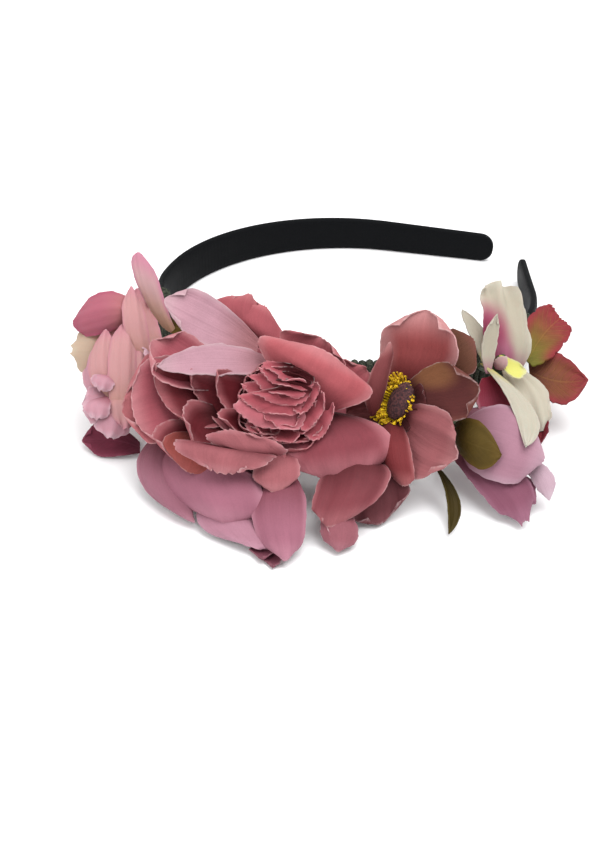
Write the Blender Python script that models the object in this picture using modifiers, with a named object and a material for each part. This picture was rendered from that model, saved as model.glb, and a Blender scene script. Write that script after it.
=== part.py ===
"""A flower crown: a ribbon-covered hairband with silk flowers bound along one half of it.

The band lies on its lower edge. +Z is up along the band's width, +X points from the crown of the band
towards its two tips, and +Y points from the flowers towards the bare leg. Lengths are in metres.
Each petal layer, leaf, stem, calyx and strip is one closed solid in an object of its own.
"""

import math

import bmesh
import bpy
from mathutils import Matrix, Vector

# The band: an elliptical loop that runs on into two straight tips.
LOOP_HALF_LENGTH = 0.067
LOOP_HALF_BREADTH = 0.0585
FAR_STRAIGHT_DEG = 75
FAR_STRAIGHT = 0.042
NEAR_STRAIGHT_DEG = 360
NEAR_STRAIGHT = 0.031
CROWN_WIDTH = 0.0148
TIP_WIDTH = 0.0095
TIP_CORNER = 0.0042
CORE_THICK = 0.0014
RIBBON_THICK = 0.0005
WRAP_THICK = 0.0018
FIT_GAP = 0.0003
STATION_STEP = 0.0085

# Where the band gives when it is spread, and the stretch that the stem wrap covers.
FAR_HINGE_DEG = 161
NEAR_HINGE_DEG = 346
HINGE_GAP = 0.0006
WRAP_START_DEG = 190
WRAP_END_DEG = 338
END_TAB_LENGTH = 0.007

# Petals, stems and their fittings.
PETAL_THICK = 0.0008
LEAF_THICK = 0.0009
PEG_RADIUS = 0.0011
STEM_RADIUS = 0.0010
CALYX_LENGTH = 0.0060
LEAF_WIRE_RADIUS = 0.0009
DISC_RADIUS = 0.0045
STAMEN_RADIUS = 0.0075
VALLEY_SHARE = 0.52
SHOULDER_SHARE = 0.90
LEAF_OUTLINE = ((0.0, 0.12), (0.2, 0.62), (0.42, 1.0), (0.65, 0.92), (0.85, 0.55), (1.0, 0.08))

ROSE = (0.56, 0.16, 0.20)
PALE_ROSE = (0.68, 0.36, 0.42)
LILAC = (0.46, 0.22, 0.32)
BLUSH = (0.74, 0.42, 0.46)
CREAM = (0.80, 0.74, 0.62)
PLUM = (0.24, 0.05, 0.10)
OLIVE = (0.20, 0.18, 0.03)
STEM_GREEN = (0.08, 0.13, 0.05)
WRAP_GREEN = (0.02, 0.05, 0.025)
BLACK_SATIN = (0.012, 0.014, 0.015)
BLACK_PLASTIC = (0.02, 0.02, 0.02)
STAMEN_YELLOW = (0.72, 0.52, 0.03)
DISC_BROWN = (0.05, 0.02, 0.025)
MAGENTA = (0.62, 0.10, 0.28)
LEAF_RED = (0.50, 0.14, 0.12)


def clear_scene():
    """Empties the file of the objects it opened with."""
    for obj in list(bpy.data.objects):
        bpy.data.objects.remove(obj, do_unlink=True)


def collection(name):
    """A new collection in the scene."""
    made = bpy.data.collections.new(name)
    bpy.context.scene.collection.children.link(made)
    return made


def finish(name, colour, roughness=0.7):
    """A plain Principled material, one for each name."""
    found = bpy.data.materials.get(name)
    if found:
        return found
    made = bpy.data.materials.new(name)
    made.use_nodes = True
    shader = made.node_tree.nodes["Principled BSDF"]
    shader.inputs["Base Color"].default_value = (*colour, 1.0)
    shader.inputs["Roughness"].default_value = roughness
    shader.inputs["Metallic"].default_value = 0.0
    return made


def add_object(name, data, material, parent=None):
    """Links a new object that holds data, with its material, under an optional empty."""
    obj = bpy.data.objects.new(name, data)
    PARTS.objects.link(obj)
    data.materials.append(material)
    obj.parent = parent
    return obj


def mesh_from(name, bm):
    """A mesh datablock from a finished bmesh."""
    mesh = bpy.data.meshes.new(name)
    bm.to_mesh(mesh)
    bm.free()
    mesh.shade_smooth()
    mesh.set_sharp_from_angle(angle=math.radians(40))
    return mesh


# ---------------------------------------------------------------- the band's line


def on_ellipse(degrees):
    """The point of the loop's centreline at an angle, and its direction towards the near tip."""
    a = math.radians(degrees)
    point = Vector((LOOP_HALF_LENGTH * math.cos(a), LOOP_HALF_BREADTH * math.sin(a), 0))
    along = Vector((-LOOP_HALF_LENGTH * math.sin(a), LOOP_HALF_BREADTH * math.cos(a), 0))
    return point, along.normalized()


def centreline():
    """Points down the middle of the band from the far tip to the near tip, each with its distance run."""
    start, out = on_ellipse(FAR_STRAIGHT_DEG)
    end, on = on_ellipse(NEAR_STRAIGHT_DEG)
    turn = [on_ellipse(d)[0] for d in range(int(FAR_STRAIGHT_DEG), int(NEAR_STRAIGHT_DEG) + 1)]
    points = [start - out * FAR_STRAIGHT, *turn, end + on * NEAR_STRAIGHT]
    run, line = 0.0, [(0.0, points[0])]
    for previous, point in zip(points, points[1:]):
        run += (point - previous).length
        line.append((run, point))
    return line


LINE = centreline()
BAND_LENGTH = LINE[-1][0]


def at_run(run):
    """The centreline's point and direction at a distance from the far tip."""
    for (r0, p0), (r1, p1) in zip(LINE, LINE[1:]):
        if run <= r1 or r1 == BAND_LENGTH:
            share = (run - r0) / (r1 - r0)
            return p0.lerp(p1, share) if 0 <= share <= 1 else p0 + (p1 - p0) * share, (p1 - p0).normalized()


def run_of(degrees):
    """The distance from the far tip at which the loop reaches an angle."""
    return LINE[1 + round(degrees - FAR_STRAIGHT_DEG)][0]


RIBBON_GROW = FIT_GAP + RIBBON_THICK
WRAP_GROW = RIBBON_GROW + FIT_GAP + WRAP_THICK
BAND_OUTER = CORE_THICK / 2 + RIBBON_GROW
WRAP_OUTER = CORE_THICK / 2 + WRAP_GROW


def width_at(run):
    """The core's width: widest at the crown, narrowing evenly towards each tip."""
    from_crown = abs(run - BAND_LENGTH / 2) / (BAND_LENGTH / 2)
    return CROWN_WIDTH + (TIP_WIDTH - CROWN_WIDTH) * from_crown


def eased(share):
    """A ramp from 0 to 1 that starts and ends level."""
    share = min(max(share, 0.0), 1.0)
    return share * share * (3 - 2 * share)


def lift_at(run):
    """How high the core's lower edge stands: on its ribbon at the tips, and on the wrap in between."""
    rise = (run - run_of(FAR_HINGE_DEG)) / (run_of(WRAP_START_DEG) - run_of(FAR_HINGE_DEG))
    fall = (BAND_LENGTH - run) / (BAND_LENGTH - run_of(WRAP_END_DEG))
    return RIBBON_GROW + (WRAP_GROW - RIBBON_GROW) * eased(rise) * eased(fall)


def corner(radius, from_end):
    """How far a rounded tip draws each edge in, at a distance from that tip."""
    if from_end >= radius:
        return 0.0
    return radius - math.sqrt(radius * radius - (radius - from_end) ** 2)


def stations(start, end, start_radius, end_radius):
    """Distances along the band: shared even steps, and closer ones round a tip."""
    arc = (0.06, 0.3, 0.6, 1.0)
    chosen = [start, *(start + start_radius * a for a in arc if start_radius)]
    closing = [*(end - end_radius * a for a in reversed(arc) if end_radius), end]
    first = chosen[-1] + STATION_STEP / 4
    last = closing[0] - STATION_STEP / 4
    shared = [k * STATION_STEP for k in range(math.ceil(BAND_LENGTH / STATION_STEP) + 1)]
    return chosen + [run for run in shared if first < run < last] + closing


def strip(name, start, end, grow, start_radius=0.0, end_radius=0.0):
    """A standing strip of the band: its side face drawn on the line, then thickened by grow on each side."""
    bm = bmesh.new()
    previous = None
    for run in stations(start, end, start_radius, end_radius):
        point, _ = at_run(run)
        drawn_in = corner(start_radius, run - start) + corner(end_radius, end - run)
        low = lift_at(run) - grow + drawn_in
        high = lift_at(run) + width_at(run) + grow - drawn_in
        pair = [bm.verts.new((point.x, point.y, z)) for z in (low, high)]
        if previous:
            bm.faces.new((previous[0], pair[0], pair[1], previous[1]))
        previous = pair
    holder = bpy.data.objects.new(name, mesh_from(name, bm))
    bpy.context.scene.collection.objects.link(holder)
    solid = holder.modifiers.new("thickness", "SOLIDIFY")
    solid.thickness = CORE_THICK + 2 * grow
    solid.offset = 0.0
    solid.use_even_offset = True
    bpy.context.view_layer.update()
    made = bpy.data.meshes.new_from_object(holder.evaluated_get(bpy.context.evaluated_depsgraph_get()))
    bpy.data.objects.remove(holder)
    return made


def sleeve(name, start, end, inner_grow, wall, material, start_radius=0.0, end_radius=0.0):
    """A sleeve round the band: open where the band gives, closed and rounded at a tip."""
    outer = add_object(name, strip(name, start, end, inner_grow + wall, start_radius, end_radius), material)
    past = 4 * HINGE_GAP
    inner = strip(
        name + "_bore",
        start + wall if start_radius else start - past,
        end - wall if end_radius else end + past,
        inner_grow,
        max(start_radius - wall, 0.0),
        max(end_radius - wall, 0.0),
    )
    cutter = bpy.data.objects.new(name + "_bore", inner)
    CUTTERS.objects.link(cutter)
    cutter.hide_render = True
    cutter.display_type = "WIRE"
    cut = outer.modifiers.new("bore", "BOOLEAN")
    cut.object = cutter
    cut.operation = "DIFFERENCE"
    return outer


def make_band():
    """The plastic strip, its ribbon and the wrap that binds the stems, split where the band gives."""
    far = run_of(FAR_HINGE_DEG)
    near = run_of(NEAR_HINGE_DEG)
    half = HINGE_GAP / 2
    spans = {
        "far_leg": (0.0, far - half, TIP_CORNER, 0.0),
        "crown": (far + half, near - half, 0.0, 0.0),
        "near_tip": (near + half, BAND_LENGTH, 0.0, TIP_CORNER),
    }
    plastic = finish("black plastic", BLACK_PLASTIC, 0.5)
    satin = finish("black satin", BLACK_SATIN, 0.45)
    for part, (start, end, start_radius, end_radius) in spans.items():
        name = f"band_core_{part}"
        core = strip(
            name,
            start + RIBBON_GROW if start_radius else start,
            end - RIBBON_GROW if end_radius else end,
            0.0,
            max(start_radius - RIBBON_GROW, 0.0),
            max(end_radius - RIBBON_GROW, 0.0),
        )
        add_object(name, core, plastic)
        sleeve(f"ribbon_{part}", start, end, FIT_GAP, RIBBON_THICK, satin, start_radius, end_radius)
    green = finish("green wrap", WRAP_GREEN, 0.9)
    wrap_from = run_of(WRAP_START_DEG)
    wrap_to = run_of(WRAP_END_DEG)
    sleeve("stem_wrap", wrap_from, wrap_to, RIBBON_GROW + FIT_GAP, WRAP_THICK, green)
    make_end_tab("ribbon_end_far", TIP_CORNER + END_TAB_LENGTH)
    make_end_tab("ribbon_end_near", BAND_LENGTH - TIP_CORNER - END_TAB_LENGTH)


def make_end_tab(name, run):
    """The end of the ribbon, folded over the tip and glued down on the band's inner face."""
    point, along = at_run(run)
    inward = Vector((-along.y, along.x, 0))
    bm = bmesh.new()
    bmesh.ops.create_cube(bm, size=1.0)
    bmesh.ops.scale(bm, vec=(END_TAB_LENGTH, RIBBON_THICK, TIP_WIDTH * 0.7), verts=bm.verts)
    tab = add_object(name, mesh_from(name, bm), finish("black satin", BLACK_SATIN, 0.45))
    tab.location = point + inward * (BAND_OUTER + FIT_GAP + RIBBON_THICK / 2)
    tab.location.z = lift_at(run) + width_at(run) / 2
    tab.rotation_euler.z = math.atan2(along.y, along.x)


# ---------------------------------------------------------------- flowers


def facing(origin, direction, name):
    """An empty at a flower's base, its +Z the way the flower faces and its +Y as near up as can be."""
    z = Vector(direction).normalized()
    x = Vector((0, 0, 1)).cross(z).normalized()
    y = z.cross(x)
    turn = Matrix((x, y, z)).transposed().to_4x4()
    empty = bpy.data.objects.new(name, None)
    PARTS.objects.link(empty)
    empty.matrix_world = Matrix.Translation(origin) @ turn
    return empty


def arched(length, share, lean, curl):
    """Radius and height gained at a share of a petal that starts at lean from the axis and bends by curl."""
    lean, curl = math.radians(lean), math.radians(curl)
    if abs(curl) < 1e-6:
        return length * share * math.sin(lean), length * share * math.cos(lean)
    end = lean + curl * share
    return length * (math.cos(lean) - math.cos(end)) / curl, length * (math.sin(end) - math.sin(lean)) / curl


def whorl(name, parent, material, petals, height, lean, curl=0.0, swing=0.0):
    """One die-cut layer of petals: a dish with a lobe for each (angle, length), and a hole for the peg.

    lean is each petal's angle from the axis at its root and curl what it adds on the way to the edge;
    swing leans the upper petals out and the lower ones forward by as much.
    """
    petals = sorted(petals)
    round_again = (petals[0][0] + 360, petals[0][1])
    columns = []
    for (angle, length), (after, next_length) in zip(petals, [*petals[1:], round_again]):
        gap = after - angle
        valley = VALLEY_SHARE * min(length, next_length)
        columns += [
            (angle, length),
            (angle + gap * 0.27, length * SHOULDER_SHARE),
            (angle + gap * 0.5, valley),
            (angle + gap * 0.73, next_length * SHOULDER_SHARE),
        ]
    hole = PEG_RADIUS + FIT_GAP + PETAL_THICK
    bm = bmesh.new()
    rings = []
    for share in (0.0, 0.4, 0.72, 1.0):
        ring = []
        for angle, length in columns:
            a = math.radians(angle)
            radius, rise = arched(length, share, lean + swing * math.sin(a), curl)
            reach = hole + radius
            ring.append(bm.verts.new((reach * math.cos(a), reach * math.sin(a), height + rise)))
        rings.append(ring)
    for inner, outer in zip(rings, rings[1:]):
        for k in range(len(columns)):
            after = (k + 1) % len(columns)
            bm.faces.new((inner[k], outer[k], outer[after], inner[after]))
    layer = add_object(name, mesh_from(name, bm), material, parent)
    cloth = layer.modifiers.new("cloth", "SOLIDIFY")
    cloth.thickness = PETAL_THICK
    cloth.offset = 0.0
    return layer


def all_round(lengths, start=0.0):
    """Evenly spaced petals of the given lengths, the first at the start angle."""
    return [(start + 360.0 * k / len(lengths), length) for k, length in enumerate(lengths)]


def turned(name, parent, material, profile, segments=16):
    """A turned solid from (radius, height) points that run from the top of the axis down to its foot."""
    bm = bmesh.new()
    points = [bm.verts.new((radius, 0, height)) for radius, height in profile]
    for upper, lower in zip(points, points[1:]):
        bm.edges.new((upper, lower))
    piece = add_object(name, mesh_from(name, bm), material, parent)
    screw = piece.modifiers.new("turn", "SCREW")
    screw.steps = segments
    screw.render_steps = segments
    screw.use_merge_vertices = True
    screw.merge_threshold = 0.00005
    return piece


def calyx(name, parent, peg_top, radius=0.0042):
    """The green cup under the petals, with the peg that they are threaded on."""
    green = finish("stem green", STEM_GREEN, 0.6)
    foot = STEM_RADIUS * 1.3
    peg = [(0, peg_top), (PEG_RADIUS, peg_top), (PEG_RADIUS, 0)]
    cup = [(radius, 0), (foot, -CALYX_LENGTH), (0, -CALYX_LENGTH)]
    return turned(name, parent, green, peg + cup, 12)


def wrap_point(degrees, height):
    """A point just off the outer face of the stem wrap, and the way out of it."""
    point, along = on_ellipse(degrees)
    outward = Vector((along.y, -along.x, 0))
    clear = WRAP_OUTER + FIT_GAP + STEM_RADIUS
    return point + outward * clear + Vector((0, 0, height)), outward


def stem(name, flower, degrees, height, reach=0.006):
    """A wire from the wrap to a calyx: out of the wrap, then round to the calyx's foot."""
    root, outward = wrap_point(degrees, height)
    frame = flower.matrix_world
    axis = frame.to_3x3() @ Vector((0, 0, 1))
    foot = frame @ Vector((0, 0, -CALYX_LENGTH - 2 * FIT_GAP))
    points = bezier(root, root + outward * reach, foot - axis * reach, foot, 6)
    return wire(name, points, STEM_RADIUS, finish("stem green", STEM_GREEN, 0.6))


def bezier(p0, p1, p2, p3, steps):
    """Points along a cubic from p0 to p3."""
    points = []
    for k in range(steps + 1):
        t = k / steps
        points.append(p0 * (1 - t) ** 3 + p1 * 3 * t * (1 - t) ** 2 + p2 * 3 * t * t * (1 - t) + p3 * t**3)
    return points


def wire(name, points, radius, material):
    """A round wire through points."""
    curve = bpy.data.curves.new(name, "CURVE")
    curve.dimensions = "3D"
    spline = curve.splines.new("POLY")
    spline.points.add(len(points) - 1)
    for slot, point in zip(spline.points, points):
        slot.co = (*point, 1.0)
    curve.bevel_depth = radius
    curve.bevel_resolution = 1
    curve.use_fill_caps = True
    return add_object(name, curve, material)


def leaf(name, root, tip, normal, breadth, material, droop=0.0, stalk=None, parent=None):
    """A pointed leaf from root to tip: an almond outline, arched along its length, then thickened.

    stalk is where its narrow foot starts, if it reaches further back than the root of the blade.
    """
    root, tip = Vector(root), Vector(tip)
    along = tip - root
    across = along.cross(Vector(normal)).normalized()
    lift = across.cross(along).normalized()
    spine = [(root + along * s + lift * droop * 4 * s * (1 - s), half) for s, half in LEAF_OUTLINE]
    if stalk:
        spine.insert(0, (stalk, LEAF_OUTLINE[0][1]))
    bm = bmesh.new()
    previous = None
    for middle, half in spine:
        pair = [bm.verts.new(middle + across * side * half * breadth / 2) for side in (-1, 1)]
        if previous:
            bm.faces.new((previous[0], pair[0], pair[1], previous[1]))
        previous = pair
    blade = add_object(name, mesh_from(name, bm), material, parent)
    cloth = blade.modifiers.new("cloth", "SOLIDIFY")
    cloth.thickness = LEAF_THICK
    cloth.offset = 0.0
    return blade


def mm(x, y, z):
    """A point given in millimetres."""
    return Vector((x, y, z)) / 1000


def seat(degrees, out, height):
    """A point square out from the wrap's outer face at an angle of the loop; out and height are in mm."""
    point, along = on_ellipse(degrees)
    outward = Vector((along.y, -along.x, 0))
    return point + outward * WRAP_OUTER + outward * out / 1000 + mm(0, 0, height)


def lengths(*values):
    """Petal lengths given in millimetres."""
    return [value / 1000 for value in values]


def layers(prefix, flower, peg_rise, *rows):
    """A calyx and its petal layers: each row is name, material, petals, rise in mm, lean, curl, swing.

    rise is the gap up the axis to the layer behind, where the two come closest; peg_rise is how far the
    peg stands past the last layer. Returns the peg's top.
    """
    height = 0.0
    depth = PETAL_THICK
    for name, material, petals, rise, lean, curl, swing in rows:
        height += rise / 1000 + depth
        whorl(f"{prefix}_{name}", flower, material, petals, height, lean, curl, swing)
        depth = PETAL_THICK / math.sin(math.radians(lean - abs(swing)))
    calyx(prefix + "_calyx", flower, height + peg_rise)
    return height + peg_rise


def bowl_floor(lean, radius):
    """How far above the foot of a layer a flat-bottomed piece of this radius clears the petals."""
    return PETAL_THICK + (radius - PEG_RADIUS - FIT_GAP) / math.tan(math.radians(lean))


def make_peony():
    """The big rose-pink head at the front: five layers from wide guard petals to a tight heart."""
    flower = facing(seat(255.5, 32.5, 16.5), (0.15, -0.63, 0.76), "peony")
    rose = finish("dusty rose silk", ROSE)
    pale = finish("pale rose silk", PALE_ROSE)
    layers(
        "peony",
        flower,
        0.0024,
        ("guard_petals", pale, all_round(lengths(26, 30, 36, 44, 43, 41, 38)), 0.2, 68, -12, 16),
        ("outer_petals", rose, all_round(lengths(27, 32, 38, 38, 36, 34), 24), 1.0, 56, -16, 14),
        ("middle_petals", rose, all_round(lengths(30, 32, 32, 31, 32, 29), 52), 0.8, 44, -20, 10),
        ("inner_petals", rose, all_round(lengths(26, 28, 27, 26, 28), 10), 0.8, 31, -18, 6),
        ("heart_petals", rose, all_round(lengths(21, 22, 20, 22), 40), 0.5, 17, -12, 0),
    )
    stem("peony_stem", flower, 246, 0.009)


def make_front_bloom():
    """The lilac bloom under the peony, lying on its face."""
    flower = facing(seat(243, 24.5, 14), (0.14, -0.95, -0.21), "front_bloom")
    lilac = finish("lilac silk", LILAC)
    outer = [(2, 0.040), (62, 0.061), (122, 0.062), (180, 0.044)]
    inner = [(20, 0.036), (92, 0.052), (160, 0.042)]
    short = [(232, 0.012), (308, 0.012)]
    layers(
        "front_bloom",
        flower,
        0.0025,
        ("outer_petals", lilac, outer + short, 0.2, 38, -6, -29),
        ("inner_petals", lilac, inner + short, 3.4, 29, -8, -22),
    )
    stem("front_bloom_stem", flower, 231, 0.007)


def make_left_flower():
    """The pale pink ruffled flower at the left, facing outwards, with its bud petals and a plum leaf."""
    flower = facing(seat(228.5, 24.5, 20), (-0.90, -0.42, 0.05), "left_flower")
    blush = finish("blush silk", BLUSH)
    layers(
        "left_flower",
        flower,
        0.0055,
        ("guard_petals", blush, all_round(lengths(24, 30, 38, 18, 22, 15, 17), -10), 0.2, 74, -10, 6),
        ("middle_petals", blush, all_round(lengths(24, 27, 20, 18, 16, 18), 20), 1.7, 56, -14, 4),
        ("ruffle_petals", blush, all_round(lengths(20, 20, 17, 15, 16), 30), 1.8, 38, -12, 2),
    )
    stem("left_flower_stem", flower, 224, 0.009)
    rose = finish("dusty rose silk", ROSE)
    cream = finish("cream silk", CREAM)
    plum = finish("plum silk", PLUM)
    outward = (-0.2, -0.78, 0.55)
    bud_root = seat(212.5, 13, 31)
    leaf("bud_petal_rose", bud_root, seat(209, 35, 33), outward, 0.014, rose, 0.003, seat(215, 2, 15))
    bud_root = seat(211.5, 17, 22)
    leaf("bud_petal_cream", bud_root, seat(209.5, 35.5, 23), outward, 0.013, cream, 0.002, seat(212.5, 2, 10))
    plum_root = seat(233.5, 38, 2.4)
    leaf("plum_leaf", plum_root, seat(223.5, 53, 2.8), (0, -0.1, 1), 0.015, plum, 0.001, seat(226, 3, 4))


def make_low_rose():
    """The small dusty rose beside the front bloom, lying on its side."""
    flower = facing(seat(272.5, 22, 12.5), (-0.06, -0.98, -0.16), "low_rose")
    rose = finish("dusty rose silk", ROSE)
    short = [(240, 0.012), (300, 0.012)]
    outer = [(0, 0.038), (60, 0.046), (120, 0.052), (180, 0.040)]
    inner = [(20, 0.034), (90, 0.042), (160, 0.034)]
    layers(
        "low_rose",
        flower,
        0.0025,
        ("outer_petals", rose, outer + short, 0.2, 27, -6, -15),
        ("inner_petals", rose, inner + short, 2.7, 15, -4, -10),
    )
    stem("low_rose_stem", flower, 271, 0.007)


def make_open_flower():
    """The open dusty-rose flower right of the peony, with a dark disc in a ring of yellow stamens."""
    flower = facing(seat(281, 29.5, 25), (-0.635, -0.533, 0.559), "open_flower")
    rose = finish("dusty rose silk", ROSE)
    cup_lean, cup_swing = 72, 4
    peg_top = layers(
        "open_flower",
        flower,
        bowl_floor(cup_lean - cup_swing, DISC_RADIUS),
        ("back_petals", rose, all_round(lengths(26, 28, 22, 14, 16), 36), 0.2, 82, -8, 4),
        ("front_petals", rose, all_round(lengths(24, 26, 20, 15, 18)), 1.2, cup_lean, -8, cup_swing),
    )
    foot = peg_top + FIT_GAP
    dome = [(0, 0.0034), (DISC_RADIUS * 0.5, 0.0031), (DISC_RADIUS * 0.9, 0.0020), (DISC_RADIUS, 0), (0, 0)]
    brown = finish("dark disc", DISC_BROWN, 0.9)
    turned("open_flower_disc", flower, brown, [(radius, foot + rise) for radius, rise in dome])
    inner = DISC_RADIUS + FIT_GAP
    ring = [(inner, 0.0040), (STAMEN_RADIUS, 0.0046), (STAMEN_RADIUS, 0.0030), (inner, 0), (inner, 0.0040)]
    yellow = finish("stamen yellow", STAMEN_YELLOW, 0.8)
    turned("open_flower_stamens", flower, yellow, [(radius, foot + rise) for radius, rise in ring])
    stem("open_flower_stem", flower, 283, 0.010, 0.005)


def make_orchid():
    """The cream orchid at the right, with its lip and column."""
    flower = facing(seat(301.5, 17, 25), (0.45, -0.65, 0.60), "orchid")
    cream = finish("cream silk", CREAM)
    magenta = finish("magenta silk", MAGENTA)
    peg_top = layers(
        "orchid",
        flower,
        0.0026,
        ("sepals", cream, [(90, 0.024), (210, 0.020), (330, 0.016)], 0.2, 80, -10, 4),
        ("petals", cream, [(0, 0.022), (180, 0.022)], 1.4, 68, -10, 0),
    )
    foot = peg_top + FIT_GAP
    column = [(0, 0.006), (0.0016, 0.0052), (0.0020, 0.003), (0.0014, 0), (0, 0)]
    yellow = finish("stamen yellow", STAMEN_YELLOW, 0.8)
    turned("orchid_column", flower, yellow, [(radius, foot + rise) for radius, rise in column], 10)
    leaf("orchid_lip", mm(0, -4, 8), mm(0, -17, 14), (0, 0.6, 1), 0.013, magenta, 0.002, None, flower)
    stem("orchid_stem", flower, 311, 0.010)


def make_right_bloom():
    """The lilac bell at the right, lying on its side."""
    flower = facing(seat(288.5, 31.5, 12), (0.68, -0.72, -0.12), "right_bloom")
    lilac = finish("lilac silk", LILAC)
    short = [(240, 0.011), (300, 0.011)]
    outer = [(0, 0.036), (60, 0.040), (120, 0.040), (180, 0.036)]
    inner = [(20, 0.031), (90, 0.035), (160, 0.031)]
    layers(
        "right_bloom",
        flower,
        0.0035,
        ("outer_petals", lilac, outer + short, 0.2, 32, -8, -14),
        ("inner_petals", lilac, inner + short, 2.9, 19, -6, -8),
    )
    stem("right_bloom_stem", flower, 297, 0.007)


def make_leaves():
    """The loose leaves: three olive ones and a sprig of two red-edged ones with a small dark one."""
    olive = finish("olive leaf", OLIVE)
    edged = finish("red-edged leaf", LEAF_RED)
    plum = finish("plum silk", PLUM)
    green = finish("stem green", STEM_GREEN, 0.6)
    up = (0.2, -0.6, 0.8)
    stalk_foot = seat(286, 35.5, 18.5)
    leaf("olive_leaf_broad", seat(286, 44.5, 22), seat(291.5, 60.5, 19), up, 0.018, olive, 0.001, stalk_foot)
    stalk_foot = seat(222.5, 1.5, 17)
    leaf("olive_leaf_back", seat(223.5, 15, 31), seat(234, 12.5, 33), up, 0.007, olive, 0.0, stalk_foot)
    leaf("olive_leaf_narrow", seat(282, 41, 8), seat(283, 66, 2.5), (0.2, -0.3, 0.9), 0.009, olive, 0.002)
    olive_line = [seat(281, 2.5, 9), seat(282.5, 19.5, 9.5), seat(282, 39.5, 8.2)]
    wire("olive_leaf_wire", olive_line, LEAF_WIRE_RADIUS, green)
    sprig_line = [seat(321.5, 2, 12), seat(319, 7, 15), seat(315.5, 13.5, 17)]
    wire("sprig_stem", sprig_line, LEAF_WIRE_RADIUS, green)
    facing_up = (0.1, -0.5, 0.85)
    leaf("sprig_leaf_upper", seat(317, 11.5, 20), seat(336.5, 9.5, 22.5), facing_up, 0.018, edged, 0.002)
    leaf("sprig_leaf_lower", seat(314.5, 17, 16), seat(317.5, 37, 17), (0.1, -0.4, 0.9), 0.018, edged, 0.002)
    leaf("sprig_leaf_small", seat(314, 17, 12), seat(305.5, 39.5, 7), (0.3, -0.4, 0.8), 0.008, plum)


clear_scene()
PARTS = collection("flower crown")
CUTTERS = collection("cutters")
make_band()
make_peony()
make_front_bloom()
make_left_flower()
make_low_rose()
make_open_flower()
make_orchid()
make_right_bloom()
make_leaves()
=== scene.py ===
"""Looks for a flower crown: silk flowers, leaves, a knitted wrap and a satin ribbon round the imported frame.

Places are in millimetres in the frame's own axes: +X towards the band's tips, -Y towards the flowers, +Z up.
"""

import logging
import math
from dataclasses import dataclass, field
from enum import Enum

import bpy
import numpy as np
from mathutils import Matrix, Vector


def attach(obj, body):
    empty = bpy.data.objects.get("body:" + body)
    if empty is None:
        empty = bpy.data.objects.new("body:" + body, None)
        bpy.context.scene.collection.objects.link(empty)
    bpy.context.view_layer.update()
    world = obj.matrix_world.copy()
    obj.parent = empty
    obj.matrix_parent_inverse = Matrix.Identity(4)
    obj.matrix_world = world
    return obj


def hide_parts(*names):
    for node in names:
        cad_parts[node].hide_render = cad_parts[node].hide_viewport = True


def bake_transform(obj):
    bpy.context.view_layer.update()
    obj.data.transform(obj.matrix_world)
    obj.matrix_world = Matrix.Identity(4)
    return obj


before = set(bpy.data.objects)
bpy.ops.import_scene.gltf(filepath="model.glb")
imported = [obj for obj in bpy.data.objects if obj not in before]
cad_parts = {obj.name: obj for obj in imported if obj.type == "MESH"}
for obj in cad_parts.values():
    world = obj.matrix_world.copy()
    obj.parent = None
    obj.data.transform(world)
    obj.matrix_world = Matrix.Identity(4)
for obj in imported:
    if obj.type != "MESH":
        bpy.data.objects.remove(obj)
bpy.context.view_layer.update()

log = logging.getLogger("flower_crown")
MM = 0.001
DYE_DEPTH = 0.72
DYE_RICHNESS = 1.18
CLOTH_CREASE_DEG = 50
HARD_CREASE_DEG = 60
PETAL_SEED = 1000
SEED_STEP = 31

Point = tuple[float, float, float]
Colour = tuple[float, float, float]


def linear(colour: Colour) -> Colour:
    """Turns a display colour of 0 to 255 a channel into a linear one of 0 to 1.

    Args:
        colour: Red, green and blue as on a paint chart.

    Returns:
        The same colour as the shader wants it.
    """
    shares = [channel / 255 for channel in colour]
    return tuple(s / 12.92 if s <= 0.04045 else ((s + 0.055) / 1.055) ** 2.4 for s in shares)


def ramp(low: float, high: float, values: np.ndarray) -> np.ndarray:
    """Eases values from 0 at low to 1 at high, level at both ends."""
    share = np.clip((values - low) / (high - low), 0.0, 1.0)
    return share * share * (3 - 2 * share)


def deselect() -> None:
    """Leaves nothing selected, so that the next operator acts on its own piece alone."""
    if bpy.context.object and bpy.context.object.mode != "OBJECT":
        bpy.ops.object.mode_set(mode="OBJECT")
    bpy.ops.object.select_all(action="DESELECT")


def pick(piece: bpy.types.Object) -> None:
    """Makes one object the selected and active one."""
    deselect()
    piece.select_set(True)
    bpy.context.view_layer.objects.active = piece


def joined(name: str, pieces: list[bpy.types.Object]) -> bpy.types.Object:
    """Joins objects into one piece.

    Args:
        name: The piece's name.
        pieces: The objects, all in place.

    Returns:
        The piece.
    """
    deselect()
    for piece in pieces:
        piece.select_set(True)
    bpy.context.view_layer.objects.active = pieces[0]
    if len(pieces) > 1:
        bpy.ops.object.join()
    pieces[0].name = name
    pieces[0].data.name = name
    return pieces[0]


def thicken(piece: bpy.types.Object, thickness: float) -> None:
    """Gives an open skin its wall, half to each side, and smooth shading."""
    pick(piece)
    wall = piece.modifiers.new("wall", "SOLIDIFY")
    wall.thickness = thickness
    wall.offset = 0.0
    bpy.ops.object.modifier_apply(modifier=wall.name)
    bpy.ops.object.shade_smooth_by_angle(angle=math.radians(CLOTH_CREASE_DEG))


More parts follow.
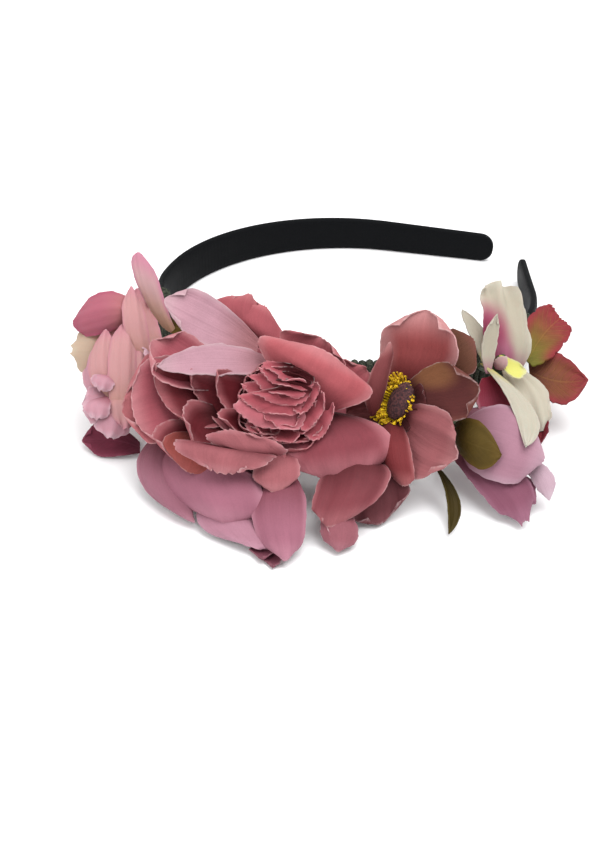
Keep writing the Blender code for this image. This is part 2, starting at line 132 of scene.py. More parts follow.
def grid(columns: int, rows: int) -> tuple[bpy.types.Object, np.ndarray, np.ndarray]:
    """Makes a flat grid to be shaped.

    Args:
        columns: How many cells across.
        rows: How many cells along.

    Returns:
        The object, and for each point how far across it is, from -1 to 1, and how far along, from 0 to 1.
    """
    deselect()
    bpy.ops.mesh.primitive_grid_add(x_subdivisions=columns, y_subdivisions=rows, size=2.0)
    piece = bpy.context.object
    flat = np.empty(len(piece.data.vertices) * 3)
    piece.data.vertices.foreach_get("co", flat)
    return piece, flat[0::3], (flat[1::3] + 1) / 2


def close_tube(piece: bpy.types.Object, weld: float) -> None:
    """Welds the seam of a grid that was rolled into a tube, and closes its two ends."""
    pick(piece)
    bpy.ops.object.mode_set(mode="EDIT")
    bpy.ops.mesh.select_all(action="SELECT")
    bpy.ops.mesh.remove_doubles(threshold=weld)
    bpy.ops.mesh.select_all(action="DESELECT")
    bpy.ops.mesh.select_non_manifold()
    bpy.ops.mesh.fill_holes(sides=0)
    bpy.ops.mesh.select_all(action="SELECT")
    bpy.ops.mesh.normals_make_consistent(inside=False)
    bpy.ops.object.mode_set(mode="OBJECT")


def squared(turn: np.ndarray, roundness: float) -> tuple[np.ndarray, np.ndarray]:
    """The sides of a rounded square at each angle, from -1 to 1: sharper corners for a smaller roundness."""
    across = np.sign(np.cos(turn)) * np.abs(np.cos(turn)) ** roundness
    up = np.sign(np.sin(turn)) * np.abs(np.sin(turn)) ** roundness
    return across, up


# ---------------------------------------------------------------- node sketching


class Sketch:
    """A short way to add and link the nodes of one tree."""

    def __init__(self, tree: bpy.types.NodeTree) -> None:
        """Keeps the tree to add to."""
        self.tree = tree

    def add(self, kind: str, inputs: dict | None = None, **settings: object) -> bpy.types.Node:
        """Adds a node.

        Args:
            kind: The node's type name without its ShaderNode prefix.
            inputs: Values or sockets for its inputs, by name or number.
            settings: The node's own settings.

        Returns:
            The node.
        """
        node = self.tree.nodes.new("ShaderNode" + kind)
        for key, value in settings.items():
            setattr(node, key, value)
        for key, value in (inputs or {}).items():
            if isinstance(value, bpy.types.NodeSocket):
                self.tree.links.new(value, node.inputs[key])
            else:
                node.inputs[key].default_value = value
        return node

    def math(self, operation: str, a: object, b: object = 0.5, clamp: bool = False) -> bpy.types.NodeSocket:
        """Adds a Math node and returns its result."""
        return self.add("Math", {0: a, 1: b}, operation=operation, use_clamp=clamp).outputs[0]

    def between(self, value: object, low: float, high: float) -> bpy.types.NodeSocket:
        """Eases a value from 0 at low to 1 at high."""
        inputs = {"Value": value, "From Min": low, "From Max": high}
        return self.add("MapRange", inputs, interpolation_type="SMOOTHSTEP").outputs["Result"]

    def mix(self, share: object, a: object, b: object, blend: str = "MIX") -> bpy.types.NodeSocket:
        """Mixes two colours by a share."""
        node = self.add("Mix", data_type="RGBA", blend_type=blend)
        for socket, value in ((node.inputs[0], share), (node.inputs[6], a), (node.inputs[7], b)):
            if isinstance(value, bpy.types.NodeSocket):
                self.tree.links.new(value, socket)
            else:
                socket.default_value = value
        return node.outputs[2]

    def noise(
        self, vector: object, scale: float, detail: float = 3.0, rough: float = 0.5,
    ) -> bpy.types.NodeSocket:
        """Adds a Noise texture and returns its value."""
        inputs = {"Vector": vector, "Scale": scale, "Detail": detail, "Roughness": rough}
        return self.add("TexNoise", inputs).outputs["Fac"]

    def stretched(self, vector: object, scale: Point) -> bpy.types.NodeSocket:
        """Stretches a vector through a Mapping node."""
        return self.add("Mapping", {"Vector": vector, "Scale": scale}).outputs["Vector"]


def rgba(colour: Colour) -> tuple[float, float, float, float]:
    """A display colour as a shader socket takes it."""
    return (*linear(colour), 1.0)


class EffectGroups:
    """The shader effects that several finishes share, each built once as a node group."""

    def __init__(self) -> None:
        """Starts with no group built."""
        self.made: dict[str, bpy.types.NodeTree] = {}

    def _start(self, name: str, inputs: list[tuple], outputs: list[tuple]) -> tuple:
        """Makes an empty group with its sockets.

        Args:
            name: The group's name.
            inputs: Socket name, socket type and starting value of each input.
            outputs: Socket name and socket type of each output.

        Returns:
            The group, a sketch of it, its input node and its output node.
        """
        tree = bpy.data.node_groups.new(name, "ShaderNodeTree")
        for label, kind, value in inputs:
            socket = tree.interface.new_socket(label, in_out="INPUT", socket_type=kind)
            socket.default_value = value
        for label, kind in outputs:
            tree.interface.new_socket(label, in_out="OUTPUT", socket_type=kind)
        self.made[name] = tree
        return tree, Sketch(tree), tree.nodes.new("NodeGroupInput"), tree.nodes.new("NodeGroupOutput")

    def petal_cloth(self) -> bpy.types.NodeTree:
        """Pressed silk: lengthways creases, a fine weave, mottled dye and a pale rim, partly frayed cloth and
        partly a painted highlight.
        """
        if "petal_cloth" in self.made:
            return self.made["petal_cloth"]
        number, colour = "NodeSocketFloat", "NodeSocketColor"
        tree, sketch, given, out = self._start(
            "petal_cloth",
            [
                ("Tint", colour, (0.5, 0.5, 0.5, 1)),
                ("Mottle", number, 0.2),
                ("Crease", number, 0.5),
                ("Rim Fray Highlight", number, 0.3),
            ],
            [("Colour", colour), ("Roughness", number), ("Height", number)],
        )
        uv = sketch.add("UVMap", uv_map="UVMap").outputs["UV"]
        here = sketch.add("TexCoord").outputs["Object"]
        rays = sketch.noise(sketch.stretched(uv, (26.0, 1.6, 1.0)), 1.0, 4.0, 0.55)
        folds = sketch.noise(sketch.stretched(uv, (7.0, 1.1, 1.0)), 1.0, 2.0)
        dye = sketch.noise(here, 130.0, 4.0, 0.6)
        fleck = sketch.noise(here, 2600.0, 1.0)
        threads_u = sketch.add(
            "TexWave", {"Vector": uv, "Scale": 26.0, "Distortion": 0.6}, bands_direction="X",
        )
        threads_v = sketch.add(
            "TexWave", {"Vector": uv, "Scale": 30.0, "Distortion": 0.6}, bands_direction="Y",
        )
        weave = sketch.math("MULTIPLY", threads_u.outputs["Fac"], threads_v.outputs["Fac"])
        parts = sketch.add("SeparateXYZ", {0: uv})
        side = sketch.math("ABSOLUTE", sketch.math("SUBTRACT", parts.outputs["X"], 0.5))
        # The pale rim along the sides and the end: frayed threads of the cut edge together with a painted
        # highlight along the rim.
        rim_side = sketch.between(side, 0.478, 0.5)
        rim_end = sketch.between(parts.outputs["Y"], 0.975, 1.0)
        rim = sketch.math("MAXIMUM", rim_side, rim_end)
        ragged = sketch.math("MULTIPLY", rim, sketch.between(sketch.noise(here, 700.0, 3.0), 0.3, 0.62))
        wear = sketch.math("MULTIPLY", ragged, given.outputs["Rim Fray Highlight"])
        shade = sketch.math("ADD", sketch.math("MULTIPLY", dye, 0.75), sketch.math("MULTIPLY", rays, 0.55))
        shade = sketch.math("ADD", shade, sketch.math("MULTIPLY", fleck, 0.35))
        swing = sketch.math("MULTIPLY", sketch.math("SUBTRACT", shade, 0.82), given.outputs["Mottle"])
        gain = sketch.math("ADD", sketch.math("MULTIPLY", swing, 2.0), 1.0)
        dyed = sketch.add("VectorMath", {0: given.outputs["Tint"], 1: gain}, operation="MULTIPLY").outputs[0]
        pale = sketch.mix(0.40, dyed, (0.80, 0.66, 0.66, 1.0))
        tree.links.new(sketch.mix(wear, dyed, pale), out.inputs["Colour"])
        sheen = sketch.math("ADD", sketch.math("MULTIPLY", rays, 0.16), 0.62)
        tree.links.new(sheen, out.inputs["Roughness"])
        creases = sketch.math("ADD", sketch.math("MULTIPLY", rays, 0.35), sketch.math("MULTIPLY", folds, 0.8))
        relief = sketch.math("MULTIPLY", creases, given.outputs["Crease"])
        relief = sketch.math("ADD", relief, sketch.math("MULTIPLY", weave, 0.05))
        relief = sketch.math("ADD", relief, sketch.math("MULTIPLY", fleck, 0.05))
        tree.links.new(relief, out.inputs["Height"])
        return tree

    def fibre_fuzz(self) -> bpy.types.NodeTree:
        """Fine fibres and lint: a speckle for colour and a height, both over the surface."""
        if "fibre_fuzz" in self.made:
            return self.made["fibre_fuzz"]
        number = "NodeSocketFloat"
        tree, sketch, given, out = self._start(
            "fibre_fuzz",
            [("Scale", number, 900.0), ("Contrast", number, 0.5)],
            [("Speckle", number), ("Height", number)],
        )
        here = sketch.add("TexCoord").outputs["Object"]
        wide = sketch.add("TexNoise", {"Vector": here, "Scale": given.outputs["Scale"], "Detail": 4.0})
        crisp = sketch.between(wide.outputs["Fac"], 0.35, 0.68)
        tree.links.new(sketch.math("MULTIPLY", crisp, given.outputs["Contrast"]), out.inputs["Speckle"])
        tree.links.new(wide.outputs["Fac"], out.inputs["Height"])
        return tree


GROUPS = EffectGroups()


def grouped(sketch: Sketch, tree: bpy.types.NodeTree, inputs: dict) -> bpy.types.Node:
    """Places a shared effect in a material.

    Args:
        sketch: The material's sketch.
        tree: The effect's group.
        inputs: Its values, by socket name.

    Returns:
        The group node.
    """
    node = sketch.add("Group")
    node.node_tree = tree
    for key, value in inputs.items():
        if isinstance(value, bpy.types.NodeSocket):
            sketch.tree.links.new(value, node.inputs[key])
        else:
            node.inputs[key].default_value = value
    return node


# ---------------------------------------------------------------- finishes


@dataclass(frozen=True)
class Finish:
    """A finish in general: its name and the shader values that are the same all over it."""

    name: str
    roughness: float = 0.7
    sheen: float = 0.0
    specular: float = 0.4

    def _shader(self) -> tuple[bpy.types.Material, Sketch, bpy.types.Node]:
        """Makes the material with its plain values set, and returns it with a sketch and its shader."""
        material = bpy.data.materials.new(self.name)
        material.use_nodes = True
        shader = material.node_tree.nodes["Principled BSDF"]
        shader.inputs["Roughness"].default_value = self.roughness
        shader.inputs["Sheen Weight"].default_value = self.sheen
        shader.inputs["Sheen Roughness"].default_value = 0.5
        shader.inputs["Specular IOR Level"].default_value = self.specular
        return material, Sketch(material.node_tree), shader

    @staticmethod
    def _bump(sketch: Sketch, shader: bpy.types.Node, height: object, strength: float, depth: float) -> None:
        """Feeds a height into the shader's normal."""
        bump = sketch.add("Bump", {"Strength": strength, "Distance": depth, "Height": height})
        sketch.tree.links.new(bump.outputs["Normal"], shader.inputs["Normal"])


@dataclass(frozen=True)
class SilkFinish(Finish):
    """Dyed polyester silk. Its colour is painted on each petal; this adds creases, weave and a pale rim,
    partly frayed cloth and partly a painted highlight.
    """

    mottle: float = 0.16
    crease: float = 0.5
    # How strongly the pale rim shows: frayed cloth together with a painted highlight.
    rim_fray_and_highlight: float = 0.35
    glow: float = 0.0

    def material(self) -> bpy.types.Material:
        """Builds the material once and returns it."""
        if self.name in bpy.data.materials:
            return bpy.data.materials[self.name]
        material, sketch, shader = self._shader()
        tint = sketch.add("Attribute", attribute_name="tint").outputs["Color"]
        values = {"Tint": tint, "Mottle": self.mottle, "Crease": self.crease, "Rim Fray Highlight": self.rim_fray_and_highlight}
        cloth = grouped(sketch, GROUPS.petal_cloth(), values)
        links = sketch.tree.links
        links.new(cloth.outputs["Colour"], shader.inputs["Base Color"])
        links.new(cloth.outputs["Roughness"], shader.inputs["Roughness"])
        shader.inputs["Sheen Tint"].default_value = (1.0, 0.86, 0.88, 1.0)
        self._bump(sketch, shader, cloth.outputs["Height"], 0.55, 0.0009)
        if self.glow:
            shader.inputs["Subsurface Weight"].default_value = self.glow
            shader.inputs["Subsurface Radius"].default_value = (0.9, 0.35, 0.35)
            shader.inputs["Subsurface Scale"].default_value = 0.002
        return material


@dataclass(frozen=True)
class LeafFinish(Finish):
    """Stiffened leaf cloth with a midrib, side veins and a coloured toothed margin."""

    vein: Colour = (150, 135, 80)
    vein_depth: float = 0.6
    vein_share: float = 0.35

    def material(self) -> bpy.types.Material:
        """Builds the material once and returns it."""
        if self.name in bpy.data.materials:
            return bpy.data.materials[self.name]
        material, sketch, shader = self._shader()
        uv = sketch.add("UVMap", uv_map="UVMap").outputs["UV"]
        here = sketch.add("TexCoord").outputs["Object"]
        parts = sketch.add("SeparateXYZ", {0: uv})
        tint = sketch.add("Attribute", attribute_name="tint").outputs["Color"]
        side = sketch.math("ABSOLUTE", sketch.math("SUBTRACT", parts.outputs["X"], 0.5))
        midrib = sketch.math("SUBTRACT", 1.0, sketch.between(side, 0.006, 0.035))
        slope = sketch.math("SUBTRACT", parts.outputs["Y"], sketch.math("MULTIPLY", side, 0.75))
        wobble = sketch.math("MULTIPLY", sketch.noise(here, 260.0, 2.0), 0.05)
        comb = sketch.math("PINGPONG", sketch.math("ADD", slope, wobble), 0.055)
        side_veins = sketch.math("SUBTRACT", 1.0, sketch.between(comb, 0.002, 0.013))
        fade = sketch.between(side, 0.5, 0.30)
        veins = sketch.math("MAXIMUM", midrib, sketch.math("MULTIPLY", side_veins, fade))
        blotch = sketch.noise(here, 240.0, 5.0, 0.65)
        gain = sketch.math("ADD", sketch.math("MULTIPLY", blotch, 0.7), 0.65)
        dyed = sketch.add("VectorMath", {0: tint, 1: gain}, operation="MULTIPLY").outputs[0]
        colour = sketch.mix(sketch.math("MULTIPLY", veins, self.vein_share), dyed, rgba(self.vein))
        sketch.tree.links.new(colour, shader.inputs["Base Color"])
        rough = sketch.math("ADD", sketch.math("MULTIPLY", blotch, 0.25), self.roughness - 0.12)
        sketch.tree.links.new(rough, shader.inputs["Roughness"])
        height = sketch.math(
            "ADD", sketch.math("MULTIPLY", veins, -0.6), sketch.math("MULTIPLY", blotch, 0.45),
        )
        self._bump(sketch, shader, height, self.vein_depth, 0.0009)
        return material


@dataclass(frozen=True)
class FuzzyFinish(Finish):
    """A fibrous or moulded finish: two colours mixed by a speckle, with a matching bump."""

    dark: Colour = (20, 28, 22)
    light: Colour = (60, 76, 60)
    grain: float = 900.0
    contrast: float = 0.6
    depth: float = 0.0004

    def material(self) -> bpy.types.Material:
        """Builds the material once and returns it."""
        if self.name in bpy.data.materials:
            return bpy.data.materials[self.name]
        material, sketch, shader = self._shader()
        fuzz = grouped(sketch, GROUPS.fibre_fuzz(), {"Scale": self.grain, "Contrast": self.contrast})
        colour = sketch.mix(fuzz.outputs["Speckle"], rgba(self.dark), rgba(self.light))
        sketch.tree.links.new(colour, shader.inputs["Base Color"])
        self._bump(sketch, shader, fuzz.outputs["Height"], 0.7, self.depth)
        return material


@dataclass(frozen=True)
class SatinFinish(Finish):
    """Black satin ribbon: fine ribs along its length, faint scuffs and lint."""

    dark: Colour = (14, 15, 17)
    scuff: Colour = (34, 36, 37)

    def material(self) -> bpy.types.Material:
        """Builds the material once and returns it."""
        if self.name in bpy.data.materials:
            return bpy.data.materials[self.name]
        material, sketch, shader = self._shader()
        uv = sketch.add("UVMap", uv_map="UVMap").outputs["UV"]
        here = sketch.add("TexCoord").outputs["Object"]
        ribs = sketch.add("TexWave", {"Vector": uv, "Scale": 44.0, "Distortion": 0.4}, bands_direction="Y")
        picks = sketch.noise(sketch.stretched(uv, (900.0, 40.0, 1.0)), 1.0, 2.0)
        drift = sketch.noise(here, 60.0, 4.0)
        lint = sketch.between(sketch.noise(here, 900.0, 5.0, 0.75), 0.66, 0.76)
        scuffs = sketch.between(
            sketch.noise(sketch.stretched(here, (90.0, 90.0, 420.0)), 1.0, 4.0, 0.7), 0.60, 0.80,
        )
        wear = sketch.math(
            "ADD", sketch.math("MULTIPLY", scuffs, 0.25), sketch.math("MULTIPLY", lint, 0.22), True,
        )
        colour = sketch.mix(wear, rgba(self.dark), rgba(self.scuff))
        sketch.tree.links.new(colour, shader.inputs["Base Color"])
        rough = sketch.math("ADD", sketch.math("MULTIPLY", drift, 0.22), self.roughness - 0.1)
        sketch.tree.links.new(rough, shader.inputs["Roughness"])
        height = sketch.math("ADD", sketch.math("MULTIPLY", ribs.outputs["Fac"], 0.35), picks)
        self._bump(sketch, shader, height, 0.35, 0.00025)
        return material


@dataclass(frozen=True)
class Tint:
    """How one petal is coloured: from its foot, through its body, to its rim. Some tints darken the foot for
    painted shade and pale the rim for painted light.
    """

    foot: Colour
    body: Colour
    rim: Colour
    foot_end: float = 0.55
    rim_start: float = 0.78


class Cut(Enum):
    """The outlines that petals are cut to.

    Foot width, end width, how far the end's corners draw back, the power of its curve, and how it closes:
    0.5 is round and 1 is straight to a point.
    """

    ROUND = (0.34, 0.50, 0.20, 2.2, 0.5)
    OVAL = (0.30, 0.30, 0.16, 2.0, 0.5)
    POINTED = (0.30, 0.03, 0.02, 1.7, 0.8)
    LENS = (0.22, 0.04, 0.02, 1.5, 0.6)
    CUP = (0.45, 0.78, 0.14, 2.6, 0.5)
    STRAP = (0.60, 0.55, 0.10, 2.0, 0.5)
    SPOON = (0.30, 0.42, 0.18, 2.1, 0.5)
    SHIELD = (0.30, 0.62, 0.0, 3.0, 0.5)


@dataclass
class Petal:
    """One petal, laid by four points: its foot, its tip and its two widest edge points.

    facing is roughly the way its face looks. cup sets the middle back behind the edges as a share of the
    half width, or forward if it is negative. bow pushes the middle of its length out of its plane, in mm.
    roll turns its rim back, in degrees, or forward if it is negative, past the turn_from share of its
    length. ruffle and fold are waves of the rim and of the whole length, in mm.
    """

    root: Point
    tip: Point
    left: Point
    right: Point
    tint: Tint
    cut: Cut = Cut.ROUND
    cup: float = 0.0
    bow: float = 0.0
    roll: float = 0.0
    turn_from: float = 0.72
    ruffle: float = 0.0
    waves: float = 2.5
    fold: float = 0.0
    fray: float = 0.2
    notch: float = 0.0
    notches: int = 3
    spots: tuple = ()
    facing: Point = (0.0, -0.6, 0.8)
    seed: int = 0
    columns: int = 24
    rows: int = 26

    def cloth(self) -> bpy.types.Object:
        """Cuts the petal from a grid, shapes it, paints its colours and returns it."""
        piece, u, v = grid(self.columns, self.rows)
        mesh = piece.data
        mesh.vertices.foreach_set("co", (self._surface(u, v) * MM).ravel())
        dye = mesh.color_attributes.new("tint", "FLOAT_COLOR", "POINT")
        dye.data.foreach_set("color", self._petal_colours(u, v).ravel())
        mesh.update()
        return piece

    def _waves(self, values: np.ndarray, rates: tuple, draw: np.random.Generator) -> np.ndarray:
        """A smooth random line made of a few sines, from -1 to 1."""
        sines = (np.sin(rate * values + draw.uniform(0, 2 * math.pi)) for rate in rates)
        total = sum(sine / (k + 1) for k, sine in enumerate(sines))
        return total / sum(1 / (k + 1) for k in range(len(rates)))

    def _surface(self, u: np.ndarray, v: np.ndarray) -> np.ndarray:
        """Places points of the petal in mm.

        Args:
            u: How far across, from -1 to 1.
            v: How far along, from 0 at the foot to 1 at the tip.

        Returns:
            One row for each point.
        """
        draw = np.random.default_rng(PETAL_SEED + self.seed)
        root, tip = np.array(self.root, float), np.array(self.tip, float)
        left, right = np.array(self.left, float), np.array(self.right, float)
        if np.dot(np.cross(right - left, tip - root), self.facing) < 0:
            left, right = right, left
        middle, half = (left + right) / 2, (right - left) / 2
        across = np.linalg.norm(half)
        run_in, run_out = np.linalg.norm(middle - root), np.linalg.norm(tip - middle)
        widest = float(np.clip(run_in / (run_in + run_out), 0.30, 0.80))
        foot, end, corner, power, taper = self.cut.value

        rise = foot + (1 - foot) * np.sin(np.pi / 2 * np.clip(v / widest, 0, 1)) ** 0.9
        past = np.clip((v - widest) / (1 - widest), 0, 1)
        fall = end + (1 - end) * np.clip(1 - past**power, 0, 1) ** taper
        width = np.where(v < widest, rise, fall)
        frayed = self._waves(u, (23, 47, 71), draw) * ramp(0.90, 1.0, v)
        side_fray = self._waves(v, (29, 53, 83), draw) * ramp(0.85, 1.0, np.abs(u))
        length = run_in + run_out
        width = width * (1 + side_fray * self.fray / across)
        along = v * (1 - corner * np.abs(u) ** power * v**3) + frayed * self.fray / length
        along -= self.notch / length * np.abs(np.sin(np.pi * self.notches * (u + 1) / 2)) ** 0.5 * v**5
        along += self.notch / length * v**5

        def spine(t: np.ndarray) -> np.ndarray:
            """The petal's middle line through its foot, its widest place and its tip."""
            t = t[:, None]
            a = (t - widest) * (t - 1) / widest
            b = t * (t - 1) / (widest * (widest - 1))
            c = t * (t - widest) / (1 - widest)
            return root * a + middle * b + tip * c

        turn_from = self.turn_from
        held = np.minimum(along, turn_from) if self.roll else along
        line = spine(held)
        ahead = spine(held + 0.01) - spine(held - 0.01)
        ahead /= np.linalg.norm(ahead, axis=1)[:, None]
        side = half / across
        face = np.cross(side, ahead)
        face /= np.linalg.norm(face, axis=1)[:, None]
        if self.roll:
            over = np.clip((along - turn_from) / (1 - turn_from), 0, None)
            angle = math.radians(self.roll) * np.maximum(over, 1e-6)
            reach = (1 - turn_from) * length * over
            line = line + ahead * (reach * np.sin(angle) / angle)[:, None]
            line = line - face * (reach * (1 - np.cos(angle)) / angle)[:, None]
        out = self.cup * across * width * (u**2 - 1)
        out += self.bow * np.sin(np.pi * np.clip(v, 0, 1))
        wave = math.pi * self.waves
        out += self.ruffle * v**2.5 * np.sin(wave * u + draw.uniform(0, 6.3))
        side_wave = np.sin(wave * 1.6 * v + np.sign(u) + draw.uniform(0, 6.3))
        out += self.ruffle * 0.7 * np.abs(u) ** 3 * v * side_wave
        out += self.fold * (0.35 + 0.65 * v) * self._waves(u, (5.0, 9.0, 15.0), draw)
        out += 0.12 * across * 0.3 * self._waves(u + 1.7 * v, (2.3, 4.1), draw) * v
        return line + half * (u * width)[:, None] + face * out[:, None]

    def _petal_colours(self, u: np.ndarray, v: np.ndarray) -> np.ndarray:
        """The colour at points of the petal, dye together with any painted shade and light that its tint
        carries, as linear colours with alpha.
        """
        foot, body, rim = (np.array(linear(c)) for c in (self.tint.foot, self.tint.body, self.tint.rim))
        share = ramp(0.0, self.tint.foot_end, v)[:, None]
        colour = foot * (1 - share) + body * share
        edge = np.maximum(
            ramp(self.tint.rim_start, 1.0, v), ramp(self.tint.rim_start, 1.0, np.abs(u)) * ramp(0.1, 0.4, v),
        )
        colour = colour * (1 - edge[:, None]) + rim * edge[:, None]
        for at_u, at_v, size, spot in self.spots:
            near = 1 - ramp(0.35, 1.0, np.hypot((u - at_u), (v - at_v) * 2) / size)
            colour = colour * (1 - near[:, None]) + np.array(linear(spot)) * near[:, None]
        return np.hstack([DYE_DEPTH * colour**DYE_RICHNESS, np.ones((len(u), 1))])


# ---------------------------------------------------------------- laying cloth pieces

PETAL_WALL = 0.00034
LEAF_WALL = 0.0005


@dataclass
class ClothPiece:
    """One die-cut layer of a flower, or a leaf: its petals in one piece.

    used, the share of a square of cloth that the cutting keeps, is not used.
    """

    name: str
    petals: list[Petal]
    finish: object
    nodes: tuple[str, ...]
    slot: str
    body: str = "crown"
    wall: float = PETAL_WALL
    used: float = 0.62
    woven: bool = True

    def build(self) -> bpy.types.Object:
        """Cuts, joins, thickens and dresses the layer, and fixes it to its body."""
        for number, petal in enumerate(self.petals):
            petal.seed += SEED_STEP * number + sum(ord(letter) for letter in self.name)
        piece = joined(self.name, [petal.cloth() for petal in self.petals])
        piece.data.materials.append(self.finish.material())
        thicken(piece, self.wall)
        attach(piece, self.body)
        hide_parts(*self.nodes)
        return piece


@dataclass
class Axis:
    """Where a flower stands and the way it faces, to set out rings of petals round it."""

    base: Point
    facing: Point
    turn: Matrix = field(init=False)

    def __post_init__(self) -> None:
        """Works out the flower's own axes: z along its facing, y as near up as can be."""
        z = Vector(self.facing).normalized()
        x = Vector((0, 0, 1)).cross(z).normalized()
        self.turn = Matrix((x, z.cross(x), z)).transposed()

    def at(self, x: float, y: float, out: float) -> Point:
        """A point given in the flower's own axes, in the frame's."""
        return tuple(Vector(self.base) + self.turn @ Vector((x, y, out)))

    def ring(
        self,
        count: int,
        start: float,
        foot: tuple[float, float],
        belly: tuple[float, float],
        rim: tuple[float, float],
        breadth: float,
        jitter: float = 1.0,
        span: float = 360.0,
        centre: tuple[float, float] = (0.0, 0.0),
        **shape: object,
    ) -> list[Petal]:
        """Petals set out round the axis, each a little different.

        Args:
            count: How many.
            start: The first one's bearing, in degrees from the flower's own x.
            foot: Radius and height of each foot, in mm.
            belly: Radius and height of each one's widest place.
            rim: Radius and height of each tip.
            breadth: Each one's width.
            jitter: How far radii and heights wander, in mm.
            span: The bearing that the ring covers, in degrees.
            centre: Where the ring's middle is, across the axis.
            shape: The petals' other values.

        Returns:
            The petals.
        """
        draw = np.random.default_rng(round(start * 7 + count * 101 + breadth * 13))
        petals = []
        for number in range(count):
            bearing = math.radians(start + span * number / count + draw.uniform(-6, 6) * jitter)
            out = (math.cos(bearing), math.sin(bearing))
            round_to = (-out[1], out[0])
            wide = breadth / 2 * draw.uniform(0.88, 1.12)

            def place(spot: tuple[float, float], aside: float) -> Point:
                """A point at a radius and height, some way round the ring."""
                radius = spot[0] + draw.uniform(-0.5, 0.5) * jitter
                height = spot[1] + draw.uniform(-0.5, 0.5) * jitter
                x = centre[0] + out[0] * radius + round_to[0] * aside
                y = centre[1] + out[1] * radius + round_to[1] * aside
                return self.at(x, y, height)

            petals.append(
                Petal(
                    place(foot, 0),
                    place(rim, 0),
                    place(belly, wide),
                    place(belly, -wide),
                    seed=number,
                    facing=self.facing,
                    **shape,
                )
            )
        return petals


# ---------------------------------------------------------------- silks

ROSE_SILK = SilkFinish("dusty rose silk", sheen=0.03, specular=0.2, rim_fray_and_highlight=0.5, mottle=0.26, crease=0.9)
HEART_SILK = SilkFinish("deep rose silk", sheen=0.02, specular=0.15, rim_fray_and_highlight=0.45, mottle=0.2)
LILAC_SILK = SilkFinish("lilac silk", sheen=0.04, specular=0.2, rim_fray_and_highlight=0.15, mottle=0.18, crease=0.6)
BLUSH_SILK = SilkFinish(
    "blush silk", sheen=0.04, specular=0.2, rim_fray_and_highlight=0.2, mottle=0.1, crease=0.35, glow=0.1,
)
CREAM_SILK = SilkFinish(
    "cream silk", sheen=0.04, specular=0.2, rim_fray_and_highlight=0.1, mottle=0.08, crease=0.4, glow=0.1,
)
OLIVE_CLOTH = LeafFinish(
    "olive leaf cloth", roughness=0.6, specular=0.1, vein=(108, 92, 46), vein_depth=0.2, vein_share=0.06,
)
PLUM_CLOTH = LeafFinish(
    "plum leaf cloth", roughness=0.65, specular=0.15, vein=(130, 66, 88), vein_depth=0.25, vein_share=0.08,
)
EDGED_CLOTH = LeafFinish(
    "red-edged leaf cloth", roughness=0.6, specular=0.15, vein=(160, 118, 60), vein_depth=0.45,
    vein_share=0.16,
)

SALMON = Tint((104, 36, 44), (180, 100, 108), (198, 126, 131))
DUSTY = Tint((98, 30, 40), (176, 96, 107), (202, 138, 144))
DEEP = Tint((64, 12, 18), (122, 42, 52), (186, 116, 122), foot_end=0.7, rim_start=0.76)
PALE_PINK = Tint((176, 122, 126), (202, 160, 172), (206, 172, 180))
HEART = Tint((84, 20, 28), (184, 98, 108), (200, 124, 132), foot_end=0.7)
ORANGE = Tint((130, 56, 54), (156, 80, 74), (176, 100, 96))
SHADED = Tint((92, 30, 38), (150, 78, 88), (196, 132, 140), rim_start=0.6)
RIM = Tint((128, 62, 70), (178, 112, 118), (196, 136, 141))


